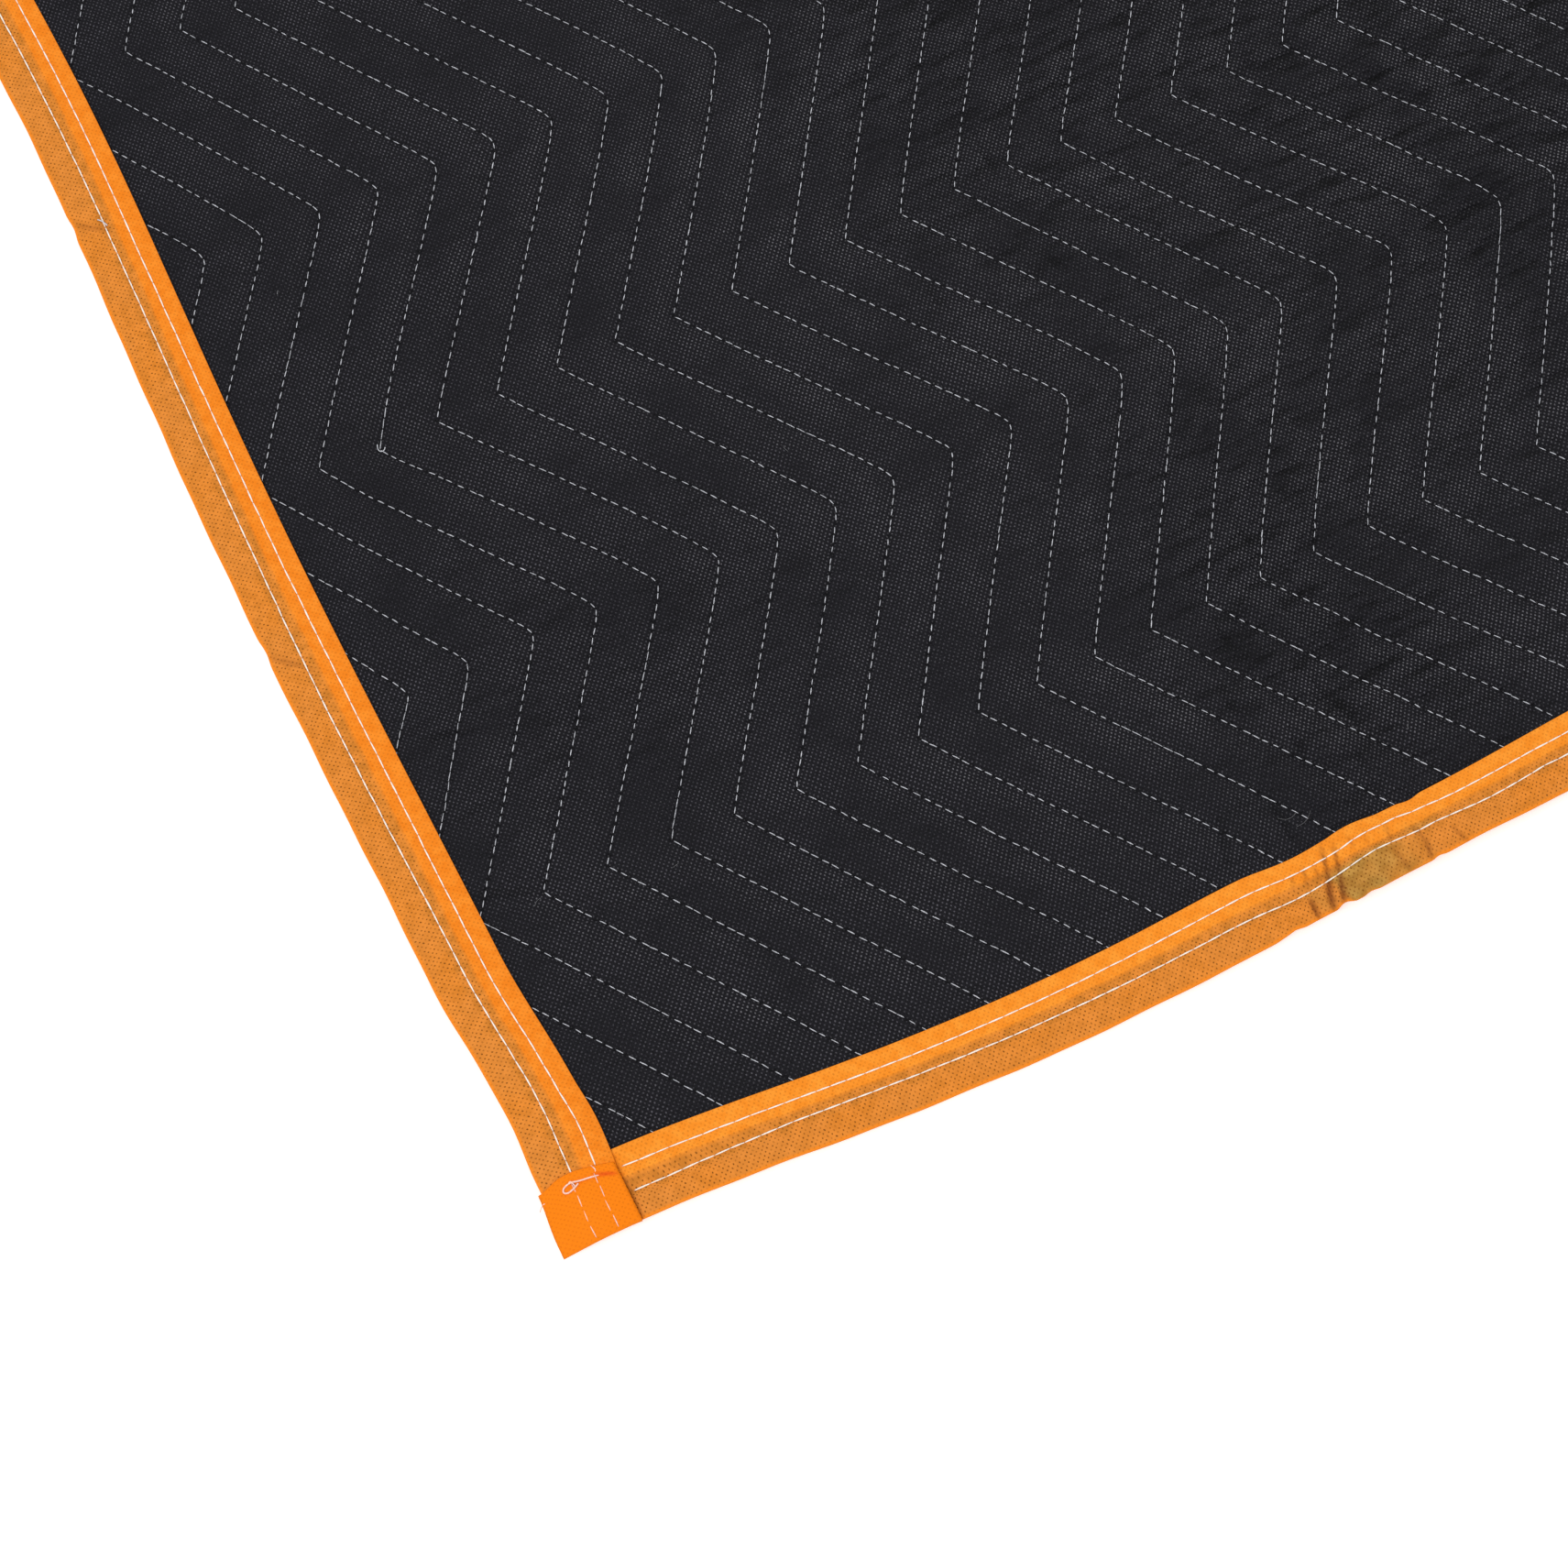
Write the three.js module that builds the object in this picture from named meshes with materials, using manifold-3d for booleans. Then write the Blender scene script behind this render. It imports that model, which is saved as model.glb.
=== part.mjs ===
// A quilted moving pad, 72 by 80 inches, lying on a floor: black non-woven cloth over thin batting,
// sewn through in zigzag rows one inch apart, with an orange tape folded round each of its edges.
// Millimetres, +Z up. The origin is the middle of the pad's outline, on the floor.
// Points are first given on the flat pad, measured from its left front corner. place() then lays
// them down with the pad's uneven edges and its low swells, and the last lines move the whole pad
// to its origin.
import * as THREE from "three";
import { mergeVertices } from "three/addons/utils/BufferGeometryUtils.js";
import Module from "manifold-3d";

const inch = 25.4;

// Driving dimensions
const padWidth = 72 * inch; // along X, across the rows of stitches
const padLength = 80 * inch; // along Y, along the rows
const rowPitch = 1 * inch;
const zigzagSwing = 2.75 * inch; // how far a row goes sideways on each leg of its zigzag
const zigzagLeg = 4 * inch; // the length of a leg along Y
const firstTurn = { x: 50.4, y: 131 }; // one turn to the left, of one row
const stitchHeight = 2.6; // the pad's thickness on a row of stitches
const crownHeight = 4.4; // its thickness half way between two rows
const pressedHeight = 1; // its thickness inside the folded tape
const tapeWidth = 28; // each side of the folded tape
const tapeThickness = 1;
const clearance = 0.4; // between two pieces
const tabLength = 26; // the end of a side tape, folded back over itself
const station = 2 * inch; // the step along the edges
const backStep = 4; // the underside has a column for so many half pitches

// Where an edge was cut or pulled uneven. Each row moves its edge inwards, most at one place, and
// less by and by over a reach along the edge and over a depth into the pad.
const unevenEdges = [
  { edge: "front", at: 10, reach: 105, depth: 170, inwards: 10 },
  { edge: "front", at: 240, reach: 110, depth: 150, inwards: -3.4 },
  { edge: "front", at: 900, reach: 260, depth: 200, inwards: 5 },
  { edge: "front", at: 1480, reach: 220, depth: 180, inwards: -4 },
  { edge: "left", at: 515, reach: 130, depth: 110, inwards: 6.5 },
  { edge: "left", at: 1120, reach: 300, depth: 220, inwards: -5 },
  { edge: "left", at: 1810, reach: 190, depth: 160, inwards: 4 },
  { edge: "right", at: 380, reach: 240, depth: 200, inwards: -4.5 },
  { edge: "right", at: 1030, reach: 280, depth: 200, inwards: 6 },
  { edge: "right", at: 1700, reach: 210, depth: 160, inwards: -3 },
  { edge: "back", at: 330, reach: 200, depth: 170, inwards: 5 },
  { edge: "back", at: 960, reach: 300, depth: 200, inwards: -5 },
  { edge: "back", at: 1560, reach: 230, depth: 180, inwards: 5.5 },
];

// The low swells, where the pad stands off the floor. The crest of each runs at a heading in degrees
// from +X.
const swells = [
  { x: 0, y: 0, heading: 135, halfLength: 320, halfWidth: 210, height: 4 },
  { x: 345, y: 40, heading: 108, halfLength: 330, halfWidth: 215, height: 5 },
  { x: 640, y: 470, heading: 62, halfLength: 430, halfWidth: 225, height: 9 },
  { x: 1230, y: 640, heading: 98, halfLength: 540, halfWidth: 250, height: 13 },
  { x: 760, y: 1390, heading: 22, halfLength: 560, halfWidth: 240, height: 11 },
  { x: 1440, y: 1640, heading: 139, halfLength: 430, halfWidth: 230, height: 9 },
  { x: 190, y: 1130, heading: 84, halfLength: 400, halfWidth: 220, height: 6 },
  { x: 1745, y: 1080, heading: 95, halfLength: 360, halfWidth: 210, height: 5 },
];

// Materials
const blackCloth = new THREE.MeshStandardMaterial({ color: 0x1b1c21, roughness: 0.85, metalness: 0 });
const orangeTape = new THREE.MeshStandardMaterial({ color: 0xf58516, roughness: 0.75, metalness: 0 });

// The pad's form

// How far the uneven edges move a point of the flat pad.
function edgeShift(x, y) {
  const shift = new THREE.Vector2();
  for (const { edge, at, reach, depth, inwards } of unevenEdges) {
    const isSide = edge === "left" || edge === "right";
    const isFar = edge === "right" || edge === "back";
    const along = isSide ? y : x;
    const across = isSide ? x : y;
    const fromEdge = isFar ? (isSide ? padWidth : padLength) - across : across;
    const amount = inwards * Math.exp(-(((along - at) / reach) ** 2) - (fromEdge / depth) ** 2);
    const signed = isFar ? -amount : amount;
    shift.add(isSide ? new THREE.Vector2(signed, 0) : new THREE.Vector2(0, signed));
  }
  return shift;
}

// A smooth hump, 1 in the middle and 0 from one unit out.
const hump = (t) => Math.max(0, 1 - t * t) ** 2;

// How high the underside stands over the floor.
function lift(x, y) {
  let height = 0;
  for (const swell of swells) {
    const toCrest = new THREE.Vector2(x - swell.x, y - swell.y);
    toCrest.rotateAround(new THREE.Vector2(), -THREE.MathUtils.degToRad(swell.heading));
    height += swell.height * hump(toCrest.x / swell.halfLength) * hump(toCrest.y / swell.halfWidth);
  }
  return height;
}

// Lays down a point of the flat pad that is z above its underside.
function place(x, y, z) {
  const laid = new THREE.Vector2(x, y).add(edgeShift(x, y));
  return new THREE.Vector3(laid.x, laid.y, z + lift(laid.x, laid.y));
}

// Helpers

const wasm = await Module();
wasm.setup();

// A closed geometry as a solid, with each of its points moved.
function solidFrom(geometry, move) {
  geometry.deleteAttribute("normal");
  geometry.deleteAttribute("uv");
  const merged = mergeVertices(geometry);
  const position = merged.attributes.position;
  for (let i = 0; i < position.count; i++) {
    const moved = move(new THREE.Vector3().fromBufferAttribute(position, i));
    position.setXYZ(i, moved.x, moved.y, moved.z);
  }
  return new wasm.Manifold(
    new wasm.Mesh({
      numProp: 3,
      vertProperties: position.array,
      triVerts: new Uint32Array(merged.index.array),
    }),
  );
}

// The four edges. Each has a length, and the point of the flat pad that is so far along it and so
// far in from it, going round the pad against the clock.
const edges = {
  front: { length: padWidth, at: (along, inset) => [along, inset] },
  right: { length: padLength, at: (along, inset) => [padWidth - inset, along] },
  back: { length: padWidth, at: (along, inset) => [padWidth - along, padLength - inset] },
  left: { length: padLength, at: (along, inset) => [inset, padLength - along] },
};

// Places along an edge, one to each station, from so far past its start to as far before its end.
function stationsOf(edge, first) {
  const between = [];
  for (let along = station; along < edge.length - station / 2; along += station) {
    between.push(along);
  }
  return [first, ...between, edge.length - first];
}

// The pad's outline so far in from its edges, as laid down and seen from above. The points between
// its corners can be moved on along their edges.
function outlineAt(inset, onwards = 0) {
  return Object.values(edges).flatMap((edge) =>
    stationsOf(edge, inset)
      .slice(0, -1)
      .map((along, i) => {
        const { x, y } = place(...edge.at(i > 0 ? along + onwards : along, inset), 0);
        return new THREE.Vector2(x, y);
      }),
  );
}

// A section carried along an edge. It is drawn as distances in from the edge and heights.
function strip(edge, section, stations) {
  const shape = new THREE.Shape(section.map(([inset, height]) => new THREE.Vector2(inset, height)));
  const steps = stations.length - 1;
  const geometry = new THREE.ExtrudeGeometry(shape, { depth: steps, steps, bevelEnabled: false });
  return solidFrom(geometry, ({ x: inset, y: height, z: step }) =>
    place(...edge.at(stations[Math.round(step)], inset), height),
  );
}

// A rectangle as a section.
const rectangle = (near, far, low, high) => [[near, low], [far, low], [far, high], [near, high]];

// The quilted pad

const halfPitch = rowPitch / 2;
const firstLeg = -Math.ceil(firstTurn.y / zigzagLeg);
const legs = Math.ceil((padLength - firstTurn.y) / zigzagLeg) - firstLeg;
const firstColumn = -backStep * Math.ceil((firstTurn.x + zigzagSwing) / halfPitch / backStep);
const columns = backStep * Math.ceil((padWidth - firstTurn.x) / halfPitch / backStep) - firstColumn;
const wellClear = 60; // further above and below than the pad reaches
const stagger = 3; // keeps the corners of the field's outline off the stations of the margin

// A slab between two heights over the underside, on a grid whose columns follow the zigzag, one
// for every so many half pitches.
function zigzagSlab(columnStep, lowerAt, upperAt) {
  const count = columns / columnStep;
  const geometry = new THREE.BoxGeometry(count, legs, 1, count, legs, 1);
  geometry.translate(count / 2, legs / 2, 0);
  return solidFrom(geometry, (corner) => {
    const column = firstColumn + Math.round(corner.x) * columnStep;
    const turn = firstLeg + Math.round(corner.y);
    const swing = turn % 2 === 0 ? 0 : zigzagSwing;
    const height = corner.z > 0 ? upperAt(column) : lowerAt(column);
    return place(firstTurn.x + column * halfPitch + swing, firstTurn.y + turn * zigzagLeg, height);
  });
}

// The quilted field, between the tapes.
function quiltedField() {
  const isOnStitches = (column) => column % 2 === 0;
  const reliefAt = (column) => (isOnStitches(column) ? stitchHeight : crownHeight);
  const belowFace = zigzagSlab(1, () => -wellClear, reliefAt);
  const aboveBack = zigzagSlab(backStep, () => 0, () => wellClear);
  const shape = new THREE.Shape(outlineAt(tapeWidth + 2 * clearance, stagger));
  const geometry = new THREE.ExtrudeGeometry(shape, { depth: 2 * wellClear, bevelEnabled: false });
  const within = solidFrom(geometry, (point) => point.setZ(point.z - wellClear));
  return belowFace.intersect(aboveBack).intersect(within);
}

// The pad's pressed margin, which lies inside the tapes and is joined to the field. It is a ring with
// a four-cornered section, bent to the pad's outline.
function pressedMargin() {
  const intoField = 3;
  const outer = outlineAt(2 * tapeThickness);
  const inner = outlineAt(tapeWidth + intoField);
  const low = tapeThickness + clearance;
  const high = low + pressedHeight;
  const section = [
    { outline: outer, height: low },
    { outline: outer, height: high },
    { outline: inner, height: high },
    { outline: inner, height: low },
  ];
  const ringRadius = 2;
  const ring = new THREE.TorusGeometry(ringRadius, 1, section.length, outer.length);
  const stepOf = (angle, steps) => Math.round((angle / (2 * Math.PI) + 1) * steps) % steps;
  return solidFrom(ring, ({ x, y, z }) => {
    const fromRing = Math.hypot(x, y) - ringRadius;
    const { outline, height } = section[stepOf(Math.atan2(z, fromRing), section.length)];
    const laid = outline[stepOf(Math.atan2(y, x), outline.length)];
    return new THREE.Vector3(laid.x, laid.y, height + lift(laid.x, laid.y));
  });
}

// The tapes

const bindingHeight = 2 * (tapeThickness + clearance) + pressedHeight;

// A tape folded round an edge.
const foldedTape = [
  [0, 0],
  [tapeWidth, 0],
  [tapeWidth, tapeThickness],
  [tapeThickness, tapeThickness],
  [tapeThickness, bindingHeight - tapeThickness],
  [tapeWidth, bindingHeight - tapeThickness],
  [tapeWidth, bindingHeight],
  [0, bindingHeight],
];

// A front or back tape ends at the side tapes, which go over its ends.
const endTape = (edge) => strip(edge, foldedTape, stationsOf(edge, tapeWidth + clearance));

// A side tape goes the whole length. Each end is turned in, and folded back over the top as a tab.
function sideTape(edge) {
  const sunk = 0.2; // keeps the faces of joined pieces off each other
  const turned = rectangle(sunk, tapeWidth - sunk, sunk, bindingHeight - sunk);
  const tabTop = bindingHeight + tapeThickness;
  const tab = rectangle(sunk, tapeWidth - sunk, bindingHeight - tapeThickness / 2, tabTop);
  let tape = strip(edge, foldedTape, stationsOf(edge, 0));
  for (const fromEnd of [(far) => far, (far) => edge.length - far]) {
    const between = (near, far) => [fromEnd(near), fromEnd(far)].sort((a, b) => a - b);
    tape = tape.add(strip(edge, turned, between(sunk, tapeThickness)));
    tape = tape.add(strip(edge, tab, between(sunk, tabLength)));
  }
  return tape;
}

// The assembly

function meshOf(name, solid, material) {
  const { vertProperties, triVerts } = solid.getMesh();
  const geometry = new THREE.BufferGeometry();
  geometry.setAttribute("position", new THREE.BufferAttribute(vertProperties, 3));
  geometry.setIndex(new THREE.BufferAttribute(triVerts, 1));
  geometry.computeVertexNormals();
  const mesh = new THREE.Mesh(geometry, material);
  mesh.name = name;
  return mesh;
}

const group = new THREE.Group();
group.add(meshOf("quilted_pad", quiltedField().add(pressedMargin()), blackCloth));
group.add(meshOf("binding_front", endTape(edges.front), orangeTape));
group.add(meshOf("binding_back", endTape(edges.back), orangeTape));
group.add(meshOf("binding_left", sideTape(edges.left), orangeTape));
group.add(meshOf("binding_right", sideTape(edges.right), orangeTape));

// The uneven edges leave the outline a little off the middle.
const middle = new THREE.Box3().setFromObject(group).getCenter(new THREE.Vector3());
group.position.set(-middle.x, -middle.y, 0);

export default group;
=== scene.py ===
"""A quilted moving pad of black non-woven cloth, bound with orange tape and laid out on a pale floor.

Lengths are in millimetres. A place on the flat pad is x, along its front edge, and y, along its left
edge, both from the left front corner. lay_down turns such a place into metres in the part's frame.
"""

import math

import bmesh
import bpy
import numpy as np
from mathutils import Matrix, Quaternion, Vector


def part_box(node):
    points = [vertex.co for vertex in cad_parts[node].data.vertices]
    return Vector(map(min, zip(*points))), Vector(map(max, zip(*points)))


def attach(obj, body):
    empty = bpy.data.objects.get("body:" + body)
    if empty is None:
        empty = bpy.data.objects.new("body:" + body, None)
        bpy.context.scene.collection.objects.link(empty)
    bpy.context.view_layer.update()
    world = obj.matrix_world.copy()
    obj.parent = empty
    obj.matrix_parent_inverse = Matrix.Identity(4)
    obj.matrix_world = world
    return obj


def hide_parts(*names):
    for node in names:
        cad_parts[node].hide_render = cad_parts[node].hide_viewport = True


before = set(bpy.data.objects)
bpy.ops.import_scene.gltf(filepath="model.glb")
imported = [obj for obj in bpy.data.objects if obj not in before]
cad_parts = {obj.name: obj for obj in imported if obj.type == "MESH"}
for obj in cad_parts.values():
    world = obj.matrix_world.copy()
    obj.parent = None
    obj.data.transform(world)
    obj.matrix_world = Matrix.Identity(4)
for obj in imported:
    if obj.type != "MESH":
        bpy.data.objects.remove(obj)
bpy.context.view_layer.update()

MM = 0.001
INCH = 25.4

# The pad, as in the part's source
PAD_WIDTH = 72 * INCH
PAD_LENGTH = 80 * INCH
ROW_PITCH = INCH
SWING = 2.75 * INCH
LEG = 4 * INCH
FIRST_TURN_X = 50.4
FIRST_TURN_Y = 131.0
STITCH_HEIGHT = 2.6
CROWN_HEIGHT = 4.4
TAPE_WIDTH = 28.0
SIDE_EDGES = ("left", "right")

# Where the sides of the pad bow in or out, as in the part's source: edge, at, reach, depth, inwards
UNEVEN_EDGES = [
    ("front", 10, 105, 170, 10),
    ("front", 240, 110, 150, -3.4),
    ("front", 900, 260, 200, 5),
    ("front", 1480, 220, 180, -4),
    ("left", 515, 130, 110, 6.5),
    ("left", 1120, 300, 220, -5),
    ("left", 1810, 190, 160, 4),
    ("right", 380, 240, 200, -4.5),
    ("right", 1030, 280, 200, 6),
    ("right", 1700, 210, 160, -3),
    ("back", 330, 200, 170, 5),
    ("back", 960, 300, 200, -5),
    ("back", 1560, 230, 180, 5.5),
]

# Low waves in the laid pad, as in the part's source: x, y, heading, half length, half width, height
SWELLS = [
    (0, 0, 135, 320, 210, 4),
    (345, 40, 108, 330, 215, 5),
    (640, 470, 62, 430, 225, 9),
    (1230, 640, 98, 540, 250, 13),
    (760, 1390, 22, 560, 240, 11),
    (1440, 1640, 139, 430, 230, 9),
    (190, 1130, 84, 400, 220, 6),
    (1745, 1080, 95, 360, 210, 5),
]

# Soft creases pressed into the upper cloth: x, y, heading, half length, half width, height
CREASES = [
    (50, 207, 166, 24, 7, -0.9),
    (89, 193, 161, 30, 8, -0.9),
    (38, 137, 157, 20, 8, -1.0),
    (64, 169, 1, 15, 7, -0.6),
    (118, 213, 170, 14, 8, -0.6),
    (350, 342, 90, 18, 7, -1.1),
    (341, 336, 95, 22, 7, 0.6),
    (351, 285, 120, 17, 7, -1.1),
    (359, 292, 109, 16, 6, 0.7),
    (299, 295, 92, 14, 7, -0.8),
    (349, 371, 85, 14, 7, -0.8),
    (326, 374, 7, 12, 6, -0.6),
    (510, 233, 4, 34, 6, -0.9),
    (474, 230, 8, 34, 6, -0.8),
    (516, 246, 6, 15, 6, 0.6),
    (359, 149, 96, 19, 7, -1.2),
    (350, 146, 98, 18, 6, 0.6),
    (361, 106, 102, 34, 7, -1.5),
    (371, 108, 101, 30, 7, 0.7),
    (329, 116, 92, 16, 6, -0.9),
    (354, 72, 104, 34, 7, -1.3),
    (345, 70, 103, 28, 6, 0.6),
    (316, 93, 85, 15, 6, -0.8),
    (365, 56, 69, 13, 6, -0.8),
    (331, 66, 77, 15, 6, -0.8),
    (309, 42, 90, 19, 6, -1.0),
    (320, 50, 89, 16, 6, 0.6),
    (284, 45, 69, 18, 6, -0.8),
    (299, 44, 73, 16, 6, 0.5),
    (349, 46, 94, 17, 6, -0.9),
    (507, 300, 116, 36, 9, -0.9),
    (205, 420, 31, 60, 10, -0.6),
    (440, 430, 130, 60, 10, -0.7),
    (820, 300, 78, 130, 18, -1.1),
    (1130, 940, 124, 170, 42, -1.1),
    (420, 1010, 16, 160, 42, -1.0),
    (1560, 420, 48, 150, 26, -1.1),
    (980, 1720, 8, 190, 42, -1.1),
    (300, 1660, 71, 150, 42, -1.0),
    (1580, 1290, 100, 170, 42, -1.1),
]

# Sharp creases in the cloth near the left front corner, for its shader's bump and painted shade, as in
# CREASES
SHARP_CREASES = [
    (50, 207, 166, 21, 2.6, -0.9),
    (89, 193, 161, 26, 2.6, -0.8),
    (38, 137, 157, 16, 2.6, -0.9),
    (350, 342, 90, 15, 3.0, -1.0),
    (351, 285, 120, 14, 3.0, -1.0),
    (299, 295, 92, 12, 3.0, -0.8),
    (326, 376, 7, 9, 1.4, -0.9),
    (510, 233, 4, 30, 2.2, -0.8),
    (468, 230, 8, 34, 2.2, -0.8),
    (359, 149, 96, 17, 2.6, -1.0),
    (361, 106, 102, 30, 2.6, -1.0),
    (366, 104, 100, 24, 2.2, 0.7),
    (329, 116, 92, 14, 2.4, -0.9),
    (354, 72, 104, 30, 2.6, -1.0),
    (316, 93, 85, 13, 2.4, -0.8),
    (331, 66, 77, 14, 2.4, -0.9),
    (309, 40, 90, 16, 2.6, -1.0),
    (320, 48, 89, 13, 2.4, 0.7),
    (284, 44, 69, 16, 2.6, -0.8),
    (299, 42, 73, 13, 2.2, 0.6),
    (349, 44, 94, 14, 2.2, -0.8),
]

# Where the quilting wandered off its rows: x, y, reach, shift in x, shift in y
WANDERINGS = [
    (310, 290, 300, -1.0, -3.8),
    (125, 131, 75, 0.8, 1.8),
    (85, 334, 60, -3.4, -2.8),
    (355, 334, 60, 0, 2.4),
    (44, 232, 36, -3.8, 0),
    (320, 232, 62, 2.6, 0),
    (415, 131, 82, -5.0, 0),
    (410, 300, 70, -3.4, 0),
    (190, 440, 75, 2.8, -0.6),
    (175, 232, 70, 0.8, -1.4),
    (185, 334, 60, -1.4, -0.8),
    (130, 10, 75, 4.2, 0),
    (225, 10, 75, 3.8, 0),
    (76, 334, 18, 0, -2.4),
    (44, 232, 18, 1.2, -2.9),
]

# How full the channels between the rows are: their usual share, how square they are across, the swells
# along each row by reach, change from row to row and share, and their depth in the lower cloth
CHANNEL_FILL = 0.84
CHANNEL_SQUARENESS = 2.4
CHANNEL_SWELLS = [(37, 2.1, 0.11), (15.1, 1.3, 0.07)]
LOWER_CROWN = 0.35

# Where each face comes up to its full height beside the tapes: from and to, in from the pad's edge
UPPER_FREE = (TAPE_WIDTH - 3, TAPE_WIDTH + 16)
LOWER_FREE = (TAPE_WIDTH - 2, TAPE_WIDTH + 12)

# Puckers across the rows: wavelength, lean, bend, phase, height
PUCKERS = [
    (27, 0.28, 61, 0.3, 0.34),
    (19, 0.10, 43, 1.7, 0.24),
    (34, -0.22, 83, 2.9, 0.32),
    (14, 0.36, 37, 4.1, 0.12),
    (47, 0.05, 71, 5.2, 0.34),
]

# Where the cloth is more puckered than elsewhere: x, y, heading, half length, half width, share
MORE_PUCKERED = [
    (360, 110, 94, 150, 90, 1.2),
    (570, 390, 100, 470, 350, 1.7),
    (350, 380, 90, 150, 110, 0.6),
    (120, 205, 10, 130, 70, 0.5),
    (1240, 760, 60, 420, 300, 0.6),
    (700, 1500, 20, 420, 300, 0.5),
]

# How much the cloth puckers elsewhere, and at the most in its mesh and in its shader
USUAL_SLACKNESS = 0.45
MOST_SLACKNESS_IN_MESH = 1.25
MOST_SLACKNESS = 2.0

# The grid of the quilted cloth is finer at the front and the left, where it is seen from near. The
# puckers fade out before its coarse part.
NEAR_X = 800.0
NEAR_Y = 735.0
PUCKERS_FADE = 90.0
FINE_CELLS_PER_ROW = 4
COARSE_CELLS_PER_ROW = 2
FINE_CELLS_PER_LEG = 22
COARSE_CELLS_PER_LEG = 4

# The quilting thread: its stitches, the share of each that shows, its first row and its size
STITCHES_PER_LEG = 28
STITCH_SHARE = 0.76
TAUT_SHARE = 1.06
LEAST_SHARE = 0.45
MOST_SHARE = 1.12
FIRST_ROW = -4
THREAD_WIDTH = 0.42
THREAD_THICKNESS = 0.38
THREAD_SINK = 0.2
UNDER_THREAD_THICKNESS = 0.3

# How far the quilting thread lies over each face, on the fine and on the coarse part of its grid
UPPER_LIFT = (0.12, 0.26)
LOWER_LIFT = (-0.1, -0.12)

# Where the quilting thread of the near rows runs on without a gap: row, from y, to y
TAUT_RUNS = [
    (-2, 176, 233),
    (-2, 435, 452),
    (-3, 210, 229),
    (-1, 116, 126),
    (-1, 71, 79),
    (-1, 377, 387),
    (1, 330, 349),
    (1, 198, 212),
    (2, 130, 147),
    (8, 80, 102),
    (9, 117, 129),
    (13, 154, 168),
    (13, 93, 115),
    (16, 205, 231),
    (5, 262, 274),
    (11, 300, 322),
    (7, 402, 420),
]

# The tape: a strip folded round the edge, with its own two edges turned in. Its places are insets
# from the pad's edge.
TAPE_CLOTH = 0.35
HEM_DEPTH = 11.5
INNER_SEAM = 21.0
OUTER_SEAM = 12.4

# The quilted cloth inside the tape: its cut edge, and the heights of its faces where it is pressed
CUT_EDGE = 10.6
PRESSED_TOP = 1.75
PRESSED_BOTTOM = 1.15

# How the seams draw the tape down: by how much, and how far to each side
SEAM_DIP = 0.24
SEAM_REACH = 0.75
LOWER_SEAM_DIP = 0.22
LOWER_SEAM_REACH = 1.0

# The tape's thread: stitch length, width, thickness, how far its ends sink in, how far it lies over
# the tape, and its height under the tape
TAPE_STITCH = 6.2
TAPE_THREAD_WIDTH = 0.64
TAPE_THREAD_THICKNESS = 0.62
TAPE_THREAD_SINK = 0.12
TAPE_THREAD_LIFT = 0.28
TAPE_THREAD_UNDER = 0.36

# The tabs at the ends of the side tapes: width, length, where their outer side lies across the tape,
# and how high their upper layer lies over it
TAB_WIDTH = 30.8
TAB_LENGTH = 25.9
TAB_SIDE_INSET = -0.9
TAB_LAYER = 0.9

# How far in from its ends a side tape is thicker, with the front or back tape under it
OVER_CORNER = 30.0

# The thread of the rows on the tabs: pitch, stitch length, width, thickness, sink and lift
TAB_STITCH_PITCH = 5.9
TAB_STITCH = 5.2
TAB_THREAD_WIDTH = 0.42
TAB_THREAD_THICKNESS = 0.34
TAB_THREAD_SINK = 0.08
TAB_THREAD_LIFT = 0.24

# Spacing of the points along each tape: edge, from, to, spacing
STATIONS = [
    ("front", 0, 292, 4.5),
    ("front", 292, 372, 1.1),
    ("front", 372, 700, 4.5),
    ("front", 700, PAD_WIDTH, 24),
    ("left", 0, 244, 4.5),
    ("left", 244, 280, 1.6),
    ("left", 280, 452, 4.5),
    ("left", 452, 480, 1.6),
    ("left", 480, 720, 4.5),
    ("left", 720, PAD_LENGTH, 24),
    ("right", 0, PAD_LENGTH, 24),
    ("back", 0, PAD_WIDTH, 24),
]

# Creases across the tape: edge, from along, from inset, to along, to inset, half width, height
TAPE_CREASES = [
    ("front", 316.6, 28, 311.6, 10, 1.4, -0.75),
    ("front", 312.4, 15, 308.2, -1, 2.1, -1.1),
    ("front", 321, 26, 315.6, 7, 1.3, -0.7),
    ("front", 317, 12, 313.2, -1, 1.7, -1.1),
    ("front", 318.4, 26, 311.2, 0, 1.7, 0.9),
    ("front", 308.6, 25, 305.4, 3, 2.2, 0.7),
    ("front", 302.4, 10, 302, -1, 1.6, -0.9),
    ("front", 299.2, 9, 298.6, 0, 1.8, 0.5),
    ("front", 300.6, 22, 298.4, 15, 1.1, -0.4),
    ("front", 306.2, 23, 303.8, 14, 1.1, -0.5),
    ("front", 310.4, 22, 308.6, 13, 0.9, -0.4),
    ("front", 327.6, 25, 326.4, 17, 0.9, -0.3),
    ("front", 333.6, 24, 332.6, 16, 0.9, -0.3),
    ("front", 342.6, 23, 340.4, 11, 1.3, -0.35),
    ("front", 340.4, 11, 342.2, -1, 1.6, -0.35),
    ("front", 338, 12, 339, 1, 1.6, 0.4),
    ("front", 351.2, 17, 353, 6, 1.3, -0.4),
    ("front", 353.4, 8, 351.4, 0, 1.5, -0.7),
    ("front", 348.8, 14, 348.4, 1, 2.0, 0.6),
    ("front", 364.2, 9, 368.2, -2, 1.3, -0.4),
    ("front", 360, 10, 360.4, 2, 1.8, 0.4),
    ("left", 268, -2, 252, 15, 1.7, -0.35),
    ("left", 274, -1, 258, 14, 2.4, 0.5),
    ("left", 472, 0, 461, 15, 1.6, -0.4),
    ("left", 467, 1, 457, 11, 2.2, 0.5),
]

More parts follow.
